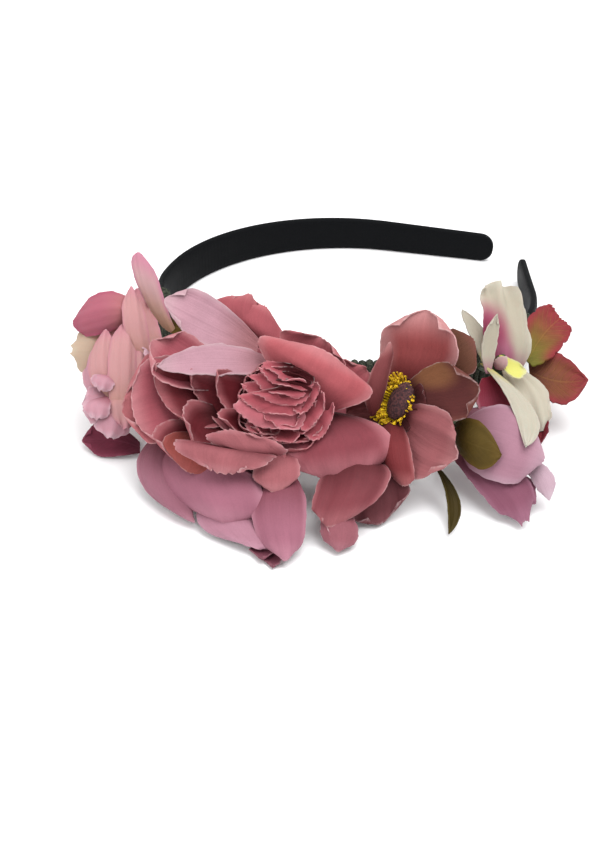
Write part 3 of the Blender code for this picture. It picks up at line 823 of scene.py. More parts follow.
@dataclass
class Peony:
    """The large dusty-rose flower: guard petals, cupped rows that open to the left, and a ruffled heart."""

    axis: Axis = field(default_factory=lambda: Axis((-25, -91.6, 16.5), (0.15, -0.63, 0.76)))
    broad: Tint = Tint((118, 48, 56), (194, 108, 114), (204, 136, 140))
    lightest: Tint = Tint((120, 50, 58), (204, 124, 134), (210, 140, 148))

    def guard(self) -> list[Petal]:
        """The outermost petals, two of them pale."""
        rim = {"roll": 40, "ruffle": 0.8, "fold": 0.5}
        return [
            Petal(
                (-30, -80, 37), (-59, -71, 49), (-49, -81, 40), (-47, -68, 50), PALE_PINK, Cut.ROUND, 0.15,
                fold=0.3, fray=0.1,
            ),
            Petal(
                (-28, -76, 34), (-33, -64, 46), (-44, -67, 46), (-25, -70, 40), SALMON, Cut.ROUND, -0.2,
                ruffle=1.0,
            ),
            Petal(
                (-26, -77, 35), (-28, -67, 44), (-37, -70, 44), (-22, -74, 36), SALMON, Cut.OVAL, -0.2,
                fray=0.3,
            ),
            Petal(
                (-13, -86, 31), (-10, -83, 42), (-23, -81, 43), (-3, -87, 34), SALMON, Cut.ROUND, 0.1,
                ruffle=0.8,
            ),
            Petal(
                (-7, -89, 25), (4, -84, 32), (-5, -83, 34), (5, -90, 27), SALMON, Cut.ROUND, 0.2, ruffle=0.6,
            ),
            Petal(
                (-13, -96, 23), (-4, -115, 11), (-22, -109, 16), (11, -103, 18), SHADED, Cut.ROUND, -0.15,
                1.5, 40, ruffle=0.8, fold=0.9,
            ),
            Petal(
                (-23, -106, 16), (-24, -122, 12), (-31, -118, 16), (-17, -117, 16), RIM, Cut.ROUND, -0.25,
                roll=30,
            ),
            Petal(
                (-43, -102, 18), (-50, -117, 16), (-58, -109, 22), (-40, -115, 16), ORANGE, Cut.ROUND, -0.1,
                roll=25,
            ),
            Petal(
                (-42, -91, 18), (-71, -97, 25), (-64, -84, 37), (-62, -104, 17), SALMON, Cut.ROUND, 0.25, 2,
                **rim,
            ),
            Petal((-20, -86, 20), (4, -77, 14), (-8, -70, 20), (4, -88, 14), DUSTY, Cut.ROUND, 0.2, **rim),
            Petal(
                (-24, -82, 22), (-18, -62, 26), (-32, -66, 28), (-8, -68, 24), DUSTY, Cut.ROUND, 0.2, **rim,
            ),
        ]

    def outer(self) -> list[Petal]:
        """The next row: the frayed pale one, the rolled left ones and the broad one at the upper right."""
        rim = {"roll": 55, "fold": 0.4, "fray": 0.35}
        return [
            Petal(
                (-22, -89, 35), (-60, -94, 39), (-43, -87, 42), (-43, -97, 37), PALE_PINK, Cut.LENS, 0.1, 1,
                fray=0.5,
            ),
            Petal(
                (-14, -100, 30), (-9, -92, 43), (-29, -88, 46), (5, -96, 31), self.broad, Cut.ROUND, -0.25, 1,
                roll=35, fold=0.3,
            ),
            Petal(
                (-40, -92, 32), (-62, -85, 43), (-60, -97, 37), (-51, -80, 42), DUSTY, Cut.ROUND, 0.3,
                fold=0.6, fray=0.3,
            ),
            Petal(
                (-39, -89, 22), (-67, -101, 28), (-62, -88, 38), (-56, -106, 20), DUSTY, Cut.CUP, 0.3, 1,
                **rim,
            ),
            Petal(
                (-32, -96, 17), (-45, -116, 18), (-60, -106, 25), (-23, -111, 16), DEEP, Cut.CUP, 0.25, **rim,
            ),
            Petal(
                (-36, -91, 24), (-57, -99, 33), (-59, -93, 40), (-48, -106, 25), DEEP, Cut.CUP, 0.3, roll=45,
                fold=0.3,
            ),
            Petal(
                (-29, -116, 22), (-37, -115, 30), (-43, -117, 27), (-21, -116, 24), RIM, Cut.ROUND, -0.1,
                ruffle=0.8, fold=0.5, fray=0.45,
            ),
            Petal(
                (-36, -117, 25), (-40, -121, 19), (-24, -117, 22), (-53, -117, 28), RIM, Cut.ROUND, -0.1,
                ruffle=0.8, fold=0.5, fray=0.45,
            ),
        ]

    def middle(self) -> list[Petal]:
        """Deep cups whose pale rims show in turn towards the left and the front."""
        rim = {"roll": 80, "turn_from": 0.66, "fold": 0.5, "fray": 0.4, "ruffle": 0.8}
        return [
            Petal(
                (-31, -97, 20), (-38, -117, 22), (-51, -104, 32), (-21, -111, 19), DEEP, Cut.CUP, 0.35, **rim,
            ),
            Petal(
                (-26, -91, 20), (-46, -104, 31), (-47, -95, 39), (-28, -112, 21), DEEP, Cut.CUP, 0.5,
                fray=0.4, fold=0.4,
            ),
            *self.axis.ring(
                5, -80, (3, 3), (10, 11), (13, 14), 16, span=190, tint=DEEP, cut=Cut.CUP, cup=0.3, ruffle=0.4,
            ),
        ]

    def inner(self) -> list[Petal]:
        """The innermost cups, close round the heart."""
        cups = {
            "cut": Cut.CUP, "cup": 0.4, "ruffle": 0.5, "waves": 1.2, "fold": 0.25, "fray": 0.35,
            "columns": 18, "rows": 18,
        }
        return [
            Petal(
                (-25, -91, 21), (-39, -105, 33), (-41, -97, 40), (-27, -110, 25), DEEP, Cut.CUP, 0.5,
                fray=0.4, fold=0.4,
            ),
            *self.axis.ring(
                5, -60, (2, 6), (9, 13), (11, 17), 14, span=170, centre=(0, -1), tint=DEEP, **cups,
            ),
            *self.axis.ring(
                5, 100, (2, 6), (10, 14), (12, 19), 12, span=160, centre=(0, 1), tint=DEEP, **cups,
            ),
        ]

    def heart(self) -> list[Petal]:
        """The ruffled heart: broad frayed petals that overlap towards the left, and folds at its right."""
        core = {
            "tint": HEART, "cut": Cut.CUP, "fray": 0.3, "columns": 16, "rows": 14, "waves": 1.2,
            "ruffle": 0.5,
        }
        shingle = {
            "cut": Cut.CUP, "cup": 0.12, "ruffle": 0.9, "waves": 1.4, "fold": 0.5, "fray": 0.4, "roll": 25,
        }
        edge_on = {"cut": Cut.CUP, "cup": 0.3, "ruffle": 0.8, "waves": 1.3, "fold": 0.4, "fray": 0.35}
        return [
            *self.axis.ring(7, 10, (2, 14), (8, 17), (10, 19), 9, span=360, cup=0.3, **core),
            *self.axis.ring(6, 40, (1, 16), (5, 19), (6, 21), 7, span=360, cup=0.3, **core),
            Petal((-23, -100, 24), (-28, -112, 26), (-41, -108, 32), (-13, -106, 22), DEEP, **edge_on),
            Petal((-22, -100, 26), (-22, -110, 24), (-33, -109, 28), (-10, -105, 23), HEART, **edge_on),
            Petal((-17, -100, 27), (-9, -107, 25), (-8, -100, 31), (-15, -108, 23), HEART, **edge_on),
            Petal((-18, -100, 29), (-12, -107, 29), (-10, -101, 34), (-17, -108, 26), HEART, **edge_on),
            Petal((-18, -101, 32), (-13, -105, 33), (-12, -100, 37), (-18, -107, 31), HEART, **edge_on),
            Petal(
                (-20, -103, 35), (-29, -111, 30), (-17, -108, 26), (-36, -108, 35), self.lightest, **shingle,
            ),
            Petal((-18, -104, 37), (-28, -108, 34), (-19, -107, 30), (-35, -107, 37), HEART, **shingle),
            Petal((-17, -104, 39), (-28, -107, 37), (-18, -106, 33), (-34, -105, 40), HEART, **shingle),
            Petal((-17, -103, 41), (-26, -106, 39), (-17, -105, 35), (-32, -104, 42), HEART, **shingle),
            Petal((-16, -102, 42), (-24, -105, 41), (-15, -104, 37), (-29, -103, 44), HEART, **shingle),
            Petal((-17, -100, 42), (-23, -104, 43), (-15, -103, 39), (-27, -101, 45), HEART, **shingle),
        ]

    def build(self) -> None:
        """Lays the five layers."""
        rose, heart = ROSE_SILK, HEART_SILK
        ClothPiece("peony_guard_silk", self.guard(), rose, ("peony_guard_petals",), "rose_silk").build()
        ClothPiece("peony_outer_silk", self.outer(), rose, ("peony_outer_petals",), "rose_silk").build()
        ClothPiece("peony_middle_silk", self.middle(), rose, ("peony_middle_petals",), "rose_silk").build()
        ClothPiece("peony_inner_silk", self.inner(), heart, ("peony_inner_petals",), "rose_silk").build()
        ClothPiece("peony_heart_silk", self.heart(), heart, ("peony_heart_petals",), "rose_silk").build()


@dataclass
class FrontBloom:
    """The lilac flower under the peony, seen from the backs of its smooth spoon petals."""

    # The dark foot of these top petals is painted shadow that the peony casts on them.
    top: Tint = Tint((138, 76, 88), (178, 120, 138), (196, 142, 158), foot_end=0.8)
    side: Tint = Tint((134, 78, 90), (176, 122, 138), (194, 144, 158))
    under: Tint = Tint((126, 72, 88), (192, 144, 160), (200, 154, 170))
    torn: Tint = Tint((112, 56, 70), (136, 78, 94), (150, 96, 110))

    def build(self) -> None:
        """Lays the outer and the inner layer."""
        smooth = {"fold": 0.35, "fray": 0.15}
        outer = [
            Petal(
                (-48, -97, 14), (-38, -126, 3), (-62, -104, 6), (-28, -118, 11), self.top, Cut.SPOON, -0.40,
                2, 20, **smooth,
            ),
            Petal(
                (-22, -113, 14), (-21, -142, 2), (-31, -123, 7), (-15, -124, 8), self.top, Cut.OVAL, -0.4, 2,
                **smooth,
            ),
            Petal(
                (-59, -96, 15), (-48, -122, 2), (-66, -102, 6), (-53, -111, 9), self.side, Cut.ROUND, -0.3, 2,
                **smooth,
            ),
            Petal(
                (-52, -92, 12), (-66, -92, 2), (-60, -98, 3), (-62, -86, 8), self.side, Cut.ROUND, -0.3,
                **smooth,
            ),
        ]
        inner = [
            Petal(
                (-38, -116, 7), (-31, -136, 2), (-47, -124, 2), (-25, -133, 2.5), self.under, Cut.ROUND, -0.2,
                1, **smooth,
            ),
            Petal(
                (-30, -125, 4), (-25, -142, 1), (-30, -134, 1), (-22, -138, 2), self.torn, Cut.POINTED, 0.2,
                fray=0.9,
            ),
            Petal(
                (-28, -124, 5), (-28, -140, 2), (-32, -133, 2), (-24, -135, 3), self.torn, Cut.POINTED, 0.3,
                fray=0.9,
            ),
        ]
        ClothPiece(
            "front_bloom_outer_silk", outer, LILAC_SILK, ("front_bloom_outer_petals",), "lilac_silk",
        ).build()
        ClothPiece(
            "front_bloom_inner_silk", inner, LILAC_SILK, ("front_bloom_inner_petals",), "lilac_silk",
        ).build()


@dataclass
class LeftFlower:
    """The pale pink flower that faces left, with long guard petals on edge and two bud petals beside it."""

    axis: Axis = field(default_factory=lambda: Axis((-62, -66, 20), (-0.90, -0.42, 0.05)))
    tall: Tint = Tint((214, 176, 150), (212, 176, 178), (212, 150, 170), foot_end=0.7, rim_start=0.62)
    long: Tint = Tint((216, 170, 156), (214, 166, 166), (214, 156, 166))
    frill: Tint = Tint((184, 122, 134), (214, 166, 178), (222, 186, 196))
    rose: Tint = Tint((196, 136, 136), (188, 116, 132), (184, 100, 124))
    cream: Tint = Tint((196, 150, 140), (206, 186, 166), (208, 192, 172))

    def build(self) -> None:
        """Lays the three layers and the two bud petals."""
        plain = {"fold": 0.4, "fray": 0.15}
        guard = [
            Petal(
                (-59, -59, 31), (-68, -48, 53), (-70, -51, 47), (-61, -55, 43), self.tall, Cut.STRAP, -0.3, 1,
                **plain,
            ),
            Petal(
                (-66, -70, 23), (-71, -54, 44), (-73, -63, 35), (-65, -65, 33), self.long, Cut.OVAL, -0.35, 1,
                **plain,
            ),
            Petal(
                (-73, -83, 10), (-73, -62, 35), (-78, -74, 24), (-69, -73, 23), self.long, Cut.STRAP, -0.3,
                1.5, **plain,
            ),
            Petal(
                (-74, -72, 20), (-76, -57, 36), (-81, -63, 30), (-71, -63, 30), self.long, Cut.ROUND, 0.2,
                **plain,
            ),
            Petal(
                (-66, -82, 8), (-68, -66, 30), (-72, -75, 18), (-63, -75, 20), self.long, Cut.STRAP, -0.3, 1,
                **plain,
            ),
            Petal(
                (-62, -60, 24), (-70, -40, 36), (-74, -50, 32), (-64, -46, 26), self.long, Cut.ROUND, 0.2,
                **plain,
            ),
            Petal(
                (-62, -62, 16), (-72, -46, 12), (-70, -56, 22), (-70, -52, 8), self.long, Cut.ROUND, 0.2,
                **plain,
            ),
        ]
        middle = [
            Petal(
                (-77, -79, 15), (-79, -63, 33), (-84, -72, 24), (-75, -71, 27), self.long, Cut.ROUND, -0.25,
                1, fold=0.6,
            ),
            Petal(
                (-76, -76, 13), (-82, -64, 27), (-86, -71, 19), (-79, -70, 24), self.frill, Cut.ROUND, -0.2,
                1, ruffle=0.8,
            ),
            *self.axis.ring(
                6, 20, (3, 4), (8, 6), (10, 7), 10, tint=self.frill, cut=Cut.ROUND, cup=0.3, ruffle=0.3,
            ),
        ]
        puffed = {"cut": Cut.ROUND, "cup": -0.35, "bow": 1.0, "ruffle": 0.6}
        ruffle = [
            *self.axis.ring(
                5, 40, (2, 4), (5, 7), (6.5, 9), 7, tint=self.frill, cut=Cut.ROUND, cup=0.35, ruffle=0.3,
            ),
            Petal((-76, -77, 16), (-86, -81, 16), (-83, -75, 20), (-82, -84, 11), self.frill, **puffed),
            Petal((-75, -80, 16), (-77, -88, 8), (-82, -84, 11), (-71, -85, 9), self.frill, **puffed),
            Petal((-78, -79, 18), (-81, -86, 14), (-85, -82, 16), (-77, -84, 15), self.frill, **puffed),
            Petal((-74, -76, 20), (-72, -87, 11), (-77, -82, 15), (-69, -82, 13), self.long, **puffed),
            Petal((-76, -75, 23), (-80, -80, 21), (-83, -76, 23), (-76, -79, 21), self.frill, **puffed),
        ]
        bud = [
            Petal(
                (-70, -57, 37), (-90, -59, 33), (-80, -54, 42), (-81, -62, 31), self.rose, Cut.ROUND, -0.45,
                1, 30, fold=0.7,
            )
        ]
        cream = [
            Petal(
                (-79, -62, 28), (-90, -65, 27), (-85, -59, 32), (-85, -69, 21), self.cream, Cut.ROUND, -0.2,
                notch=1.0,
            )
        ]
        silk = BLUSH_SILK
        ClothPiece("left_flower_guard_silk", guard, silk, ("left_flower_guard_petals",), "blush_silk").build()
        ClothPiece(
            "left_flower_middle_silk", middle, silk, ("left_flower_middle_petals",), "blush_silk",
        ).build()
        ClothPiece(
            "left_flower_ruffle_silk", ruffle, silk, ("left_flower_ruffle_petals",), "blush_silk",
        ).build()
        ClothPiece("bud_rose_silk", bud, silk, ("bud_petal_rose",), "pale_rose_silk").build()
        ClothPiece("bud_cream_silk", cream, CREAM_SILK, ("bud_petal_cream",), "cream_silk").build()


@dataclass
class LowRose:
    """The small dusty-rose flower on its side beside the front bloom."""

    # The dark foot, stretched over most of the petal, is painted shadow under the peony petal above it.
    outside: Tint = Tint((92, 36, 42), (146, 78, 86), (178, 114, 120), foot_end=0.9)
    mauve: Tint = Tint((84, 36, 42), (124, 70, 76), (140, 88, 94))
    folded: Tint = Tint((120, 60, 68), (168, 108, 118), (178, 124, 134))

    def build(self) -> None:
        """Lays the outer and the inner layer."""
        outer = [
            Petal(
                (-2, -102, 10), (-9, -131, 6), (-12, -118, 11), (10, -115, 13), self.outside, Cut.ROUND,
                -0.25, 0.5, 35, fold=1.0,
            ),
            Petal(
                (4, -108, 13), (8, -123, 2), (-1, -124, 4), (16, -115, 8), self.mauve, Cut.ROUND, 0.25,
                fold=0.8,
            ),
        ]
        inner = [
            Petal((-6, -122, 9), (-6, -136, 1), (-11, -129, 4), (0, -130, 3), self.folded, Cut.OVAL, -0.5, 1),
            Petal((-3, -122, 11), (-7, -135, 4), (-9, -129, 7), (-3, -131, 5), self.folded, Cut.OVAL, 0.5),
        ]
        ClothPiece("low_rose_outer_silk", outer, ROSE_SILK, ("low_rose_outer_petals",), "rose_silk").build()
        ClothPiece("low_rose_inner_silk", inner, ROSE_SILK, ("low_rose_inner_petals",), "rose_silk").build()


@dataclass
class OpenFlower:
    """The open dusty-rose flower with its dark disc and yellow stamens."""

    axis: Axis = field(default_factory=lambda: Axis((18, -90, 25), (-0.635, -0.533, 0.559)))
    # The pale rolled top is painted light from above, and the dark foot is painted shade under the roll.
    dome: Tint = Tint((120, 50, 52), (172, 92, 92), (208, 154, 154), foot_end=0.45, rim_start=0.55)
    edge_on: Tint = Tint((118, 54, 56), (148, 84, 86), (186, 130, 130))
    olive_rose: Tint = Tint((96, 48, 50), (112, 60, 58), (128, 78, 70))
    back: Tint = Tint((96, 60, 46), (124, 84, 66), (132, 84, 74))
    creased: Tint = Tint((126, 62, 66), (166, 104, 108), (186, 130, 132))
    folded: Tint = Tint((100, 32, 36), (140, 62, 66), (180, 112, 114))
    collar: Tint = Tint((70, 30, 32), (96, 44, 46), (110, 54, 56))
    stamen_count: int = 200
    eye_at: tuple[float, float] = (-1.5, -3.5)

    def build(self) -> None:
        """Lays both layers, then the disc and the stamens."""
        gold = ((-0.75, 0.5, 0.8, (150, 104, 74)),)
        back = [
            Petal((26, -85, 32), (36, -84, 42), (29, -79, 43), (36, -92, 36), self.back, Cut.ROUND, -0.1),
            Petal(
                (15, -90, 24), (35, -106, 39), (26, -93, 40), (31, -108, 29), self.olive_rose, Cut.ROUND, 0.2,
                spots=gold,
            ),
            Petal(
                (11, -89, 18), (-3, -84, 15), (2, -83, 23), (4, -91, 16), self.edge_on, Cut.ROUND, 0.2,
                fold=0.5,
            ),
            *self.axis.ring(
                6, 10, (1, 0), (6, 1.5), (9, 2.2), 9, tint=self.collar, cut=Cut.ROUND, centre=self.eye_at,
            ),
        ]
        front = [
            Petal(
                (14, -86, 26), (16, -82, 52), (7, -81, 38), (30, -94, 43), self.dome, Cut.ROUND, 0.3, -1, 60,
                0.62, 0.5,
            ),
            Petal(
                (6, -93, 21), (11, -85, 42), (3, -92, 29), (10, -89, 32), self.edge_on, Cut.OVAL, -0.35,
                roll=20,
            ),
            Petal(
                (13, -91, 19), (29, -115, 21), (17, -113, 11), (27, -102, 28), self.creased, Cut.ROUND, 0.1,
                1, fold=1.2,
            ),
            Petal(
                (11, -91, 17), (14, -115, 9), (8, -102, 14), (17, -109, 17), self.folded, Cut.STRAP, -0.45, 1,
                roll=25,
            ),
        ]
        ClothPiece(
            "open_flower_back_silk", back, ROSE_SILK, ("open_flower_back_petals",), "rose_silk",
        ).build()
        ClothPiece(
            "open_flower_front_silk", front, ROSE_SILK, ("open_flower_front_petals",), "rose_silk",
        ).build()
        self._disc()
        self._stamens()

    def _placed(self, piece: bpy.types.Object) -> None:
        """Moves a piece from the flower's own axes to its place in the frame."""
        place = Matrix.Translation(Vector(self.axis.at(*self.eye_at, 0)) * MM) @ self.axis.turn.to_4x4()
        piece.data.transform(place @ piece.matrix_basis)
        piece.matrix_basis = Matrix.Identity(4)

    def _disc(self) -> None:
        """Makes the dark pebbled disc."""
        deselect()
        bpy.ops.mesh.primitive_uv_sphere_add(
            segments=48, ring_count=24, radius=0.0048, location=(0.0012, 0.0014, 0.0052),
        )
        disc = bpy.context.object
        disc.name = "open_flower_disc_dome"
        for vertex in disc.data.vertices:
            spot = vertex.co
            pebble = math.sin(spot.x * 5200) * math.sin(spot.y * 5200 + 1) * math.sin(spot.z * 5200 + 2)
            vertex.co = Vector((spot.x * 0.82, spot.y * 1.3, spot.z * 0.42)) * (1 + 0.07 * pebble)
        self._placed(disc)
        pick(disc)
        bpy.ops.object.shade_smooth_by_angle(angle=math.radians(HARD_CREASE_DEG))
        brown = FuzzyFinish("disc brown", roughness=0.8, dark=(40, 18, 24), light=(104, 58, 56), grain=1500.0)
        disc.data.materials.append(brown.material())
        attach(disc, "crown")
        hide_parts("open_flower_disc")
        log.info("disc built")

    def _stamens(self) -> None:
        """Makes the ring of yellow anthers on short filaments, thick at the left and sparse at the right."""
        draw = np.random.default_rng(77)
        anthers = []
        for number in range(self.stamen_count):
            lean = draw.random() < 0.72
            bearing = draw.uniform(90, 275) if lean else draw.uniform(0, 360)
            radius = draw.uniform(4.0, 8.0) if lean else draw.uniform(5.0, 6.6)
            turn = math.radians(bearing)
            height = draw.uniform(5.0, 7.6) if lean else draw.uniform(4.8, 6.2)
            spot = Vector((radius * math.cos(turn), radius * 1.2 * math.sin(turn), height)) * MM
            deselect()
            bpy.ops.mesh.primitive_ico_sphere_add(
                subdivisions=1, radius=draw.uniform(0.3, 0.55) * MM, location=spot,
            )
            anther = bpy.context.object
            anther.scale = (1.0, draw.uniform(0.6, 0.9), draw.uniform(1.1, 1.7))
            anther.rotation_euler = tuple(draw.uniform(-0.9, 0.9, 3))
            anthers.append(anther)
            foot = Vector((radius * 0.72 * math.cos(turn), radius * 0.9 * math.sin(turn), 3.6)) * MM
            bpy.ops.mesh.primitive_cone_add(
                vertices=5, radius1=0.00026, radius2=0.0002, depth=(spot - foot).length,
            )
            filament = bpy.context.object
            filament.rotation_mode = "QUATERNION"
            filament.rotation_quaternion = (spot - foot).to_track_quat("Z", "Y")
            filament.location = (spot + foot) / 2
            anthers.append(filament)
        for anther in anthers:
            anther.select_set(True)
        bpy.ops.object.transform_apply(location=True, rotation=True, scale=True)
        ring = joined("open_flower_anthers", anthers)
        self._placed(ring)
        yellow = FuzzyFinish(
            "stamen yellow", roughness=0.7, dark=(150, 104, 8), light=(244, 208, 20), grain=1800.0,
            contrast=1.0,
        )
        ring.data.materials.append(yellow.material())
        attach(ring, "crown")
        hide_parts("open_flower_stamens")
        log.info("stamens: %d", self.stamen_count)


@dataclass
class Orchid:
    """The cream orchid with a magenta throat and yellow touches."""

    white: Tint = Tint((182, 136, 148), (200, 193, 176), (208, 203, 188), foot_end=0.35)
    strap: Tint = Tint((206, 196, 120), (206, 200, 184), (212, 206, 192), foot_end=0.3)
    lower: Tint = Tint((204, 196, 178), (212, 205, 188), (216, 210, 196))
    throat: Tint = Tint((150, 50, 70), (160, 72, 92), (188, 130, 140))
    blush: Tint = Tint((176, 100, 116), (206, 172, 172), (206, 190, 180))
    lemon: Tint = Tint((222, 220, 120), (236, 234, 140), (232, 230, 180))

    def build(self) -> None:
        """Lays the sepals, the petals, the lip and the column."""
        pink = ((-0.8, 0.30, 1.1, (176, 92, 120)), (-0.2, 0.10, 0.6, (190, 124, 148)))
        sepals = [
            Petal(
                (49, -69, 22), (47, -53, 44), (40, -65, 37), (57, -61, 28), self.white, Cut.CUP, -0.25, 1,
                ruffle=1.8, spots=pink, fold=1.0,
            ),
            Petal((42, -70, 25), (34, -65, 42), (36, -68, 35), (41, -66, 35), self.strap, Cut.LENS, 0.3, 1),
            Petal(
                (41, -76, 28), (50, -112, 22), (46, -91, 25), (55, -94, 21), self.strap, Cut.POINTED, -0.15,
                1, fold=0.4,
            ),
        ]
        petals = [
            Petal(
                (50, -70, 23), (57.5, -86, 9), (50, -81, 17), (62, -75, 16.5), self.lower, Cut.CUP, 0.2, 1,
                25, fold=1.1, ruffle=1.2,
            ),
            Petal((42, -79, 27), (45, -68, 42), (40, -74, 35), (45, -72, 34), self.white, Cut.OVAL, 0.25),
            Petal((42, -79, 26), (44, -92, 17), (38, -86, 21), (49, -83, 23), self.throat, Cut.ROUND, 0.3),
        ]
        small = {"rows": 14, "columns": 14}
        lip = [
            Petal(
                (46, -73, 29), (55, -74, 25), (50, -72, 28), (50, -78, 25), self.lemon, Cut.ROUND, 0.3,
                **small,
            ),
        ]
        column = [
            Petal(
                (45, -74, 26), (48, -74, 30), (
                    44.5, -74, 29,
                ), (47.5, -76, 27), self.blush, Cut.OVAL, -0.3, **small,
            ),
        ]
        ClothPiece("orchid_sepal_silk", sepals, CREAM_SILK, ("orchid_sepals",), "cream_silk").build()
        ClothPiece("orchid_petal_silk", petals, CREAM_SILK, ("orchid_petals",), "cream_silk").build()
        ClothPiece("orchid_lip_silk", lip, CREAM_SILK, ("orchid_lip",), "magenta_silk").build()
        ClothPiece(
            "orchid_column_moulded", column, CREAM_SILK, ("orchid_column",), "cream_silk", woven=False,
        ).build()


@dataclass
class RightBloom:
    """The pale lilac bell on its side, under the orchid."""

    pale: Tint = Tint((140, 84, 98), (186, 142, 158), (200, 164, 178))
    tip: Tint = Tint((190, 150, 164), (208, 180, 192), (214, 192, 202))
    low: Tint = Tint((120, 66, 80), (150, 96, 116), (170, 120, 140))

    def build(self) -> None:
        """Lays the outer and the inner layer."""
        outer = [
            Petal(
                (31, -94, 13), (57, -108, 14), (42, -113, 9), (48, -92, 22), self.pale, Cut.SPOON, -0.45, 2,
                25, fold=0.3,
            ),
            Petal((35, -87, 17), (50, -103, 17), (38, -102, 13), (46, -91, 20), self.pale, Cut.OVAL, -0.3, 1),
            Petal((48, -102, 12), (58, -116, 5), (54, -111, 7), (60, -110, 9), self.tip, Cut.OVAL, -0.3, 1),
        ]
        inner = [
            Petal(
                (32, -102, 12), (50, -123, 2), (38, -114, 5), (51, -109, 9), self.low, Cut.ROUND, -0.3, 1,
                fold=0.4, notch=1.5,
            ),
            Petal(
                (38, -107, 9), (54, -115, 3), (45, -114, 4), (53, -109, 8), self.low, Cut.OVAL, -0.3,
                fold=0.4,
            ),
        ]
        ClothPiece(
            "right_bloom_outer_silk", outer, LILAC_SILK, ("right_bloom_outer_petals",), "lilac_silk",
        ).build()
        ClothPiece(
            "right_bloom_inner_silk", inner, LILAC_SILK, ("right_bloom_inner_petals",), "lilac_silk",
        ).build()


@dataclass
class Foliage:
    """The loose leaves and the sprig."""

    olive: Tint = Tint((84, 68, 30), (104, 86, 42), (118, 96, 50))
    narrow: Tint = Tint((66, 56, 30), (84, 72, 38), (96, 84, 46))
    plum: Tint = Tint((100, 42, 60), (140, 68, 88), (156, 84, 104))
    yellow_green: Tint = Tint((128, 124, 54), (142, 116, 56), (158, 64, 72), rim_start=0.3)
    red_brown: Tint = Tint((120, 74, 60), (146, 92, 68), (158, 70, 76), rim_start=0.5)
    dark_red: Tint = Tint((90, 24, 36), (122, 36, 52), (132, 44, 60))

    def build(self) -> None:
        """Lays every leaf on its body."""
        plain = {"fold": 0.25, "fray": 0.1}
        toothed = {"fold": 0.5, "fray": 0.5}
        broad = Petal(
            (30, -99, 18), (43, -112, 19), (37, -104, 26), (37, -112, 14), self.olive, Cut.POINTED, -0.2, 1,
            **plain,
        )
        sliver = Petal(
            (-61, -54, 31), (-50, -66, 33), (-57, -62, 31), (-55, -59, 35), self.olive, Cut.POINTED, 0.1,
            **plain,
        )
        narrow = Petal(
            (25, -106, 10), (27, -128, 2), (27, -117, 5), (31, -118, 4), self.narrow, Cut.POINTED, 0.5, 1,
            **plain,
        )
        plum = Petal(
            (-68, -85, 3), (-87, -81, 3), (-81, -76, 7), (-80, -87, 1), self.plum, Cut.OVAL, 0.15, **plain,
        )
        upper = Petal(
            (57, -62, 21), (71, -38, 24), (59, -43, 26), (68, -55, 21), self.yellow_green, Cut.SHIELD, 0.15,
            **toothed,
        )
        lower = Petal(
            (58, -60, 16), (76, -67, 17), (67, -55, 20), (66.5, -74.5, 12.5), self.red_brown, Cut.POINTED,
            0.15, **toothed,
        )
        small = Petal(
            (58, -64, 12), (58, -91, 8), (54, -82, 9), (62, -82, 10), self.dark_red, Cut.POINTED, 0.2,
            **toothed,
        )
        rows = [
            ("olive_leaf_broad_cloth", broad, OLIVE_CLOTH, "olive_leaf_broad", "olive_silk", "crown"),
            ("olive_leaf_back_cloth", sliver, OLIVE_CLOTH, "olive_leaf_back", "olive_silk", "crown"),
            (
                "olive_leaf_narrow_cloth", narrow, OLIVE_CLOTH, "olive_leaf_narrow", "olive_silk",
                "narrow_leaf",
            ),
            ("plum_leaf_cloth", plum, PLUM_CLOTH, "plum_leaf", "plum_silk", "crown"),
            (
                "sprig_leaf_upper_cloth", upper, EDGED_CLOTH, "sprig_leaf_upper", "red_edged_silk",
                "leaf_sprig",
            ),
            (
                "sprig_leaf_lower_cloth", lower, EDGED_CLOTH, "sprig_leaf_lower", "red_edged_silk",
                "leaf_sprig",
            ),
            (
                "sprig_leaf_small_cloth", small, EDGED_CLOTH, "sprig_leaf_small", "red_edged_silk",
                "leaf_sprig",
            ),
        ]
        for name, petal, finish, node, slot, body in rows:
            ClothPiece(name, [petal], finish, (node,), slot, body, LEAF_WALL).build()


# ---------------------------------------------------------------- the band


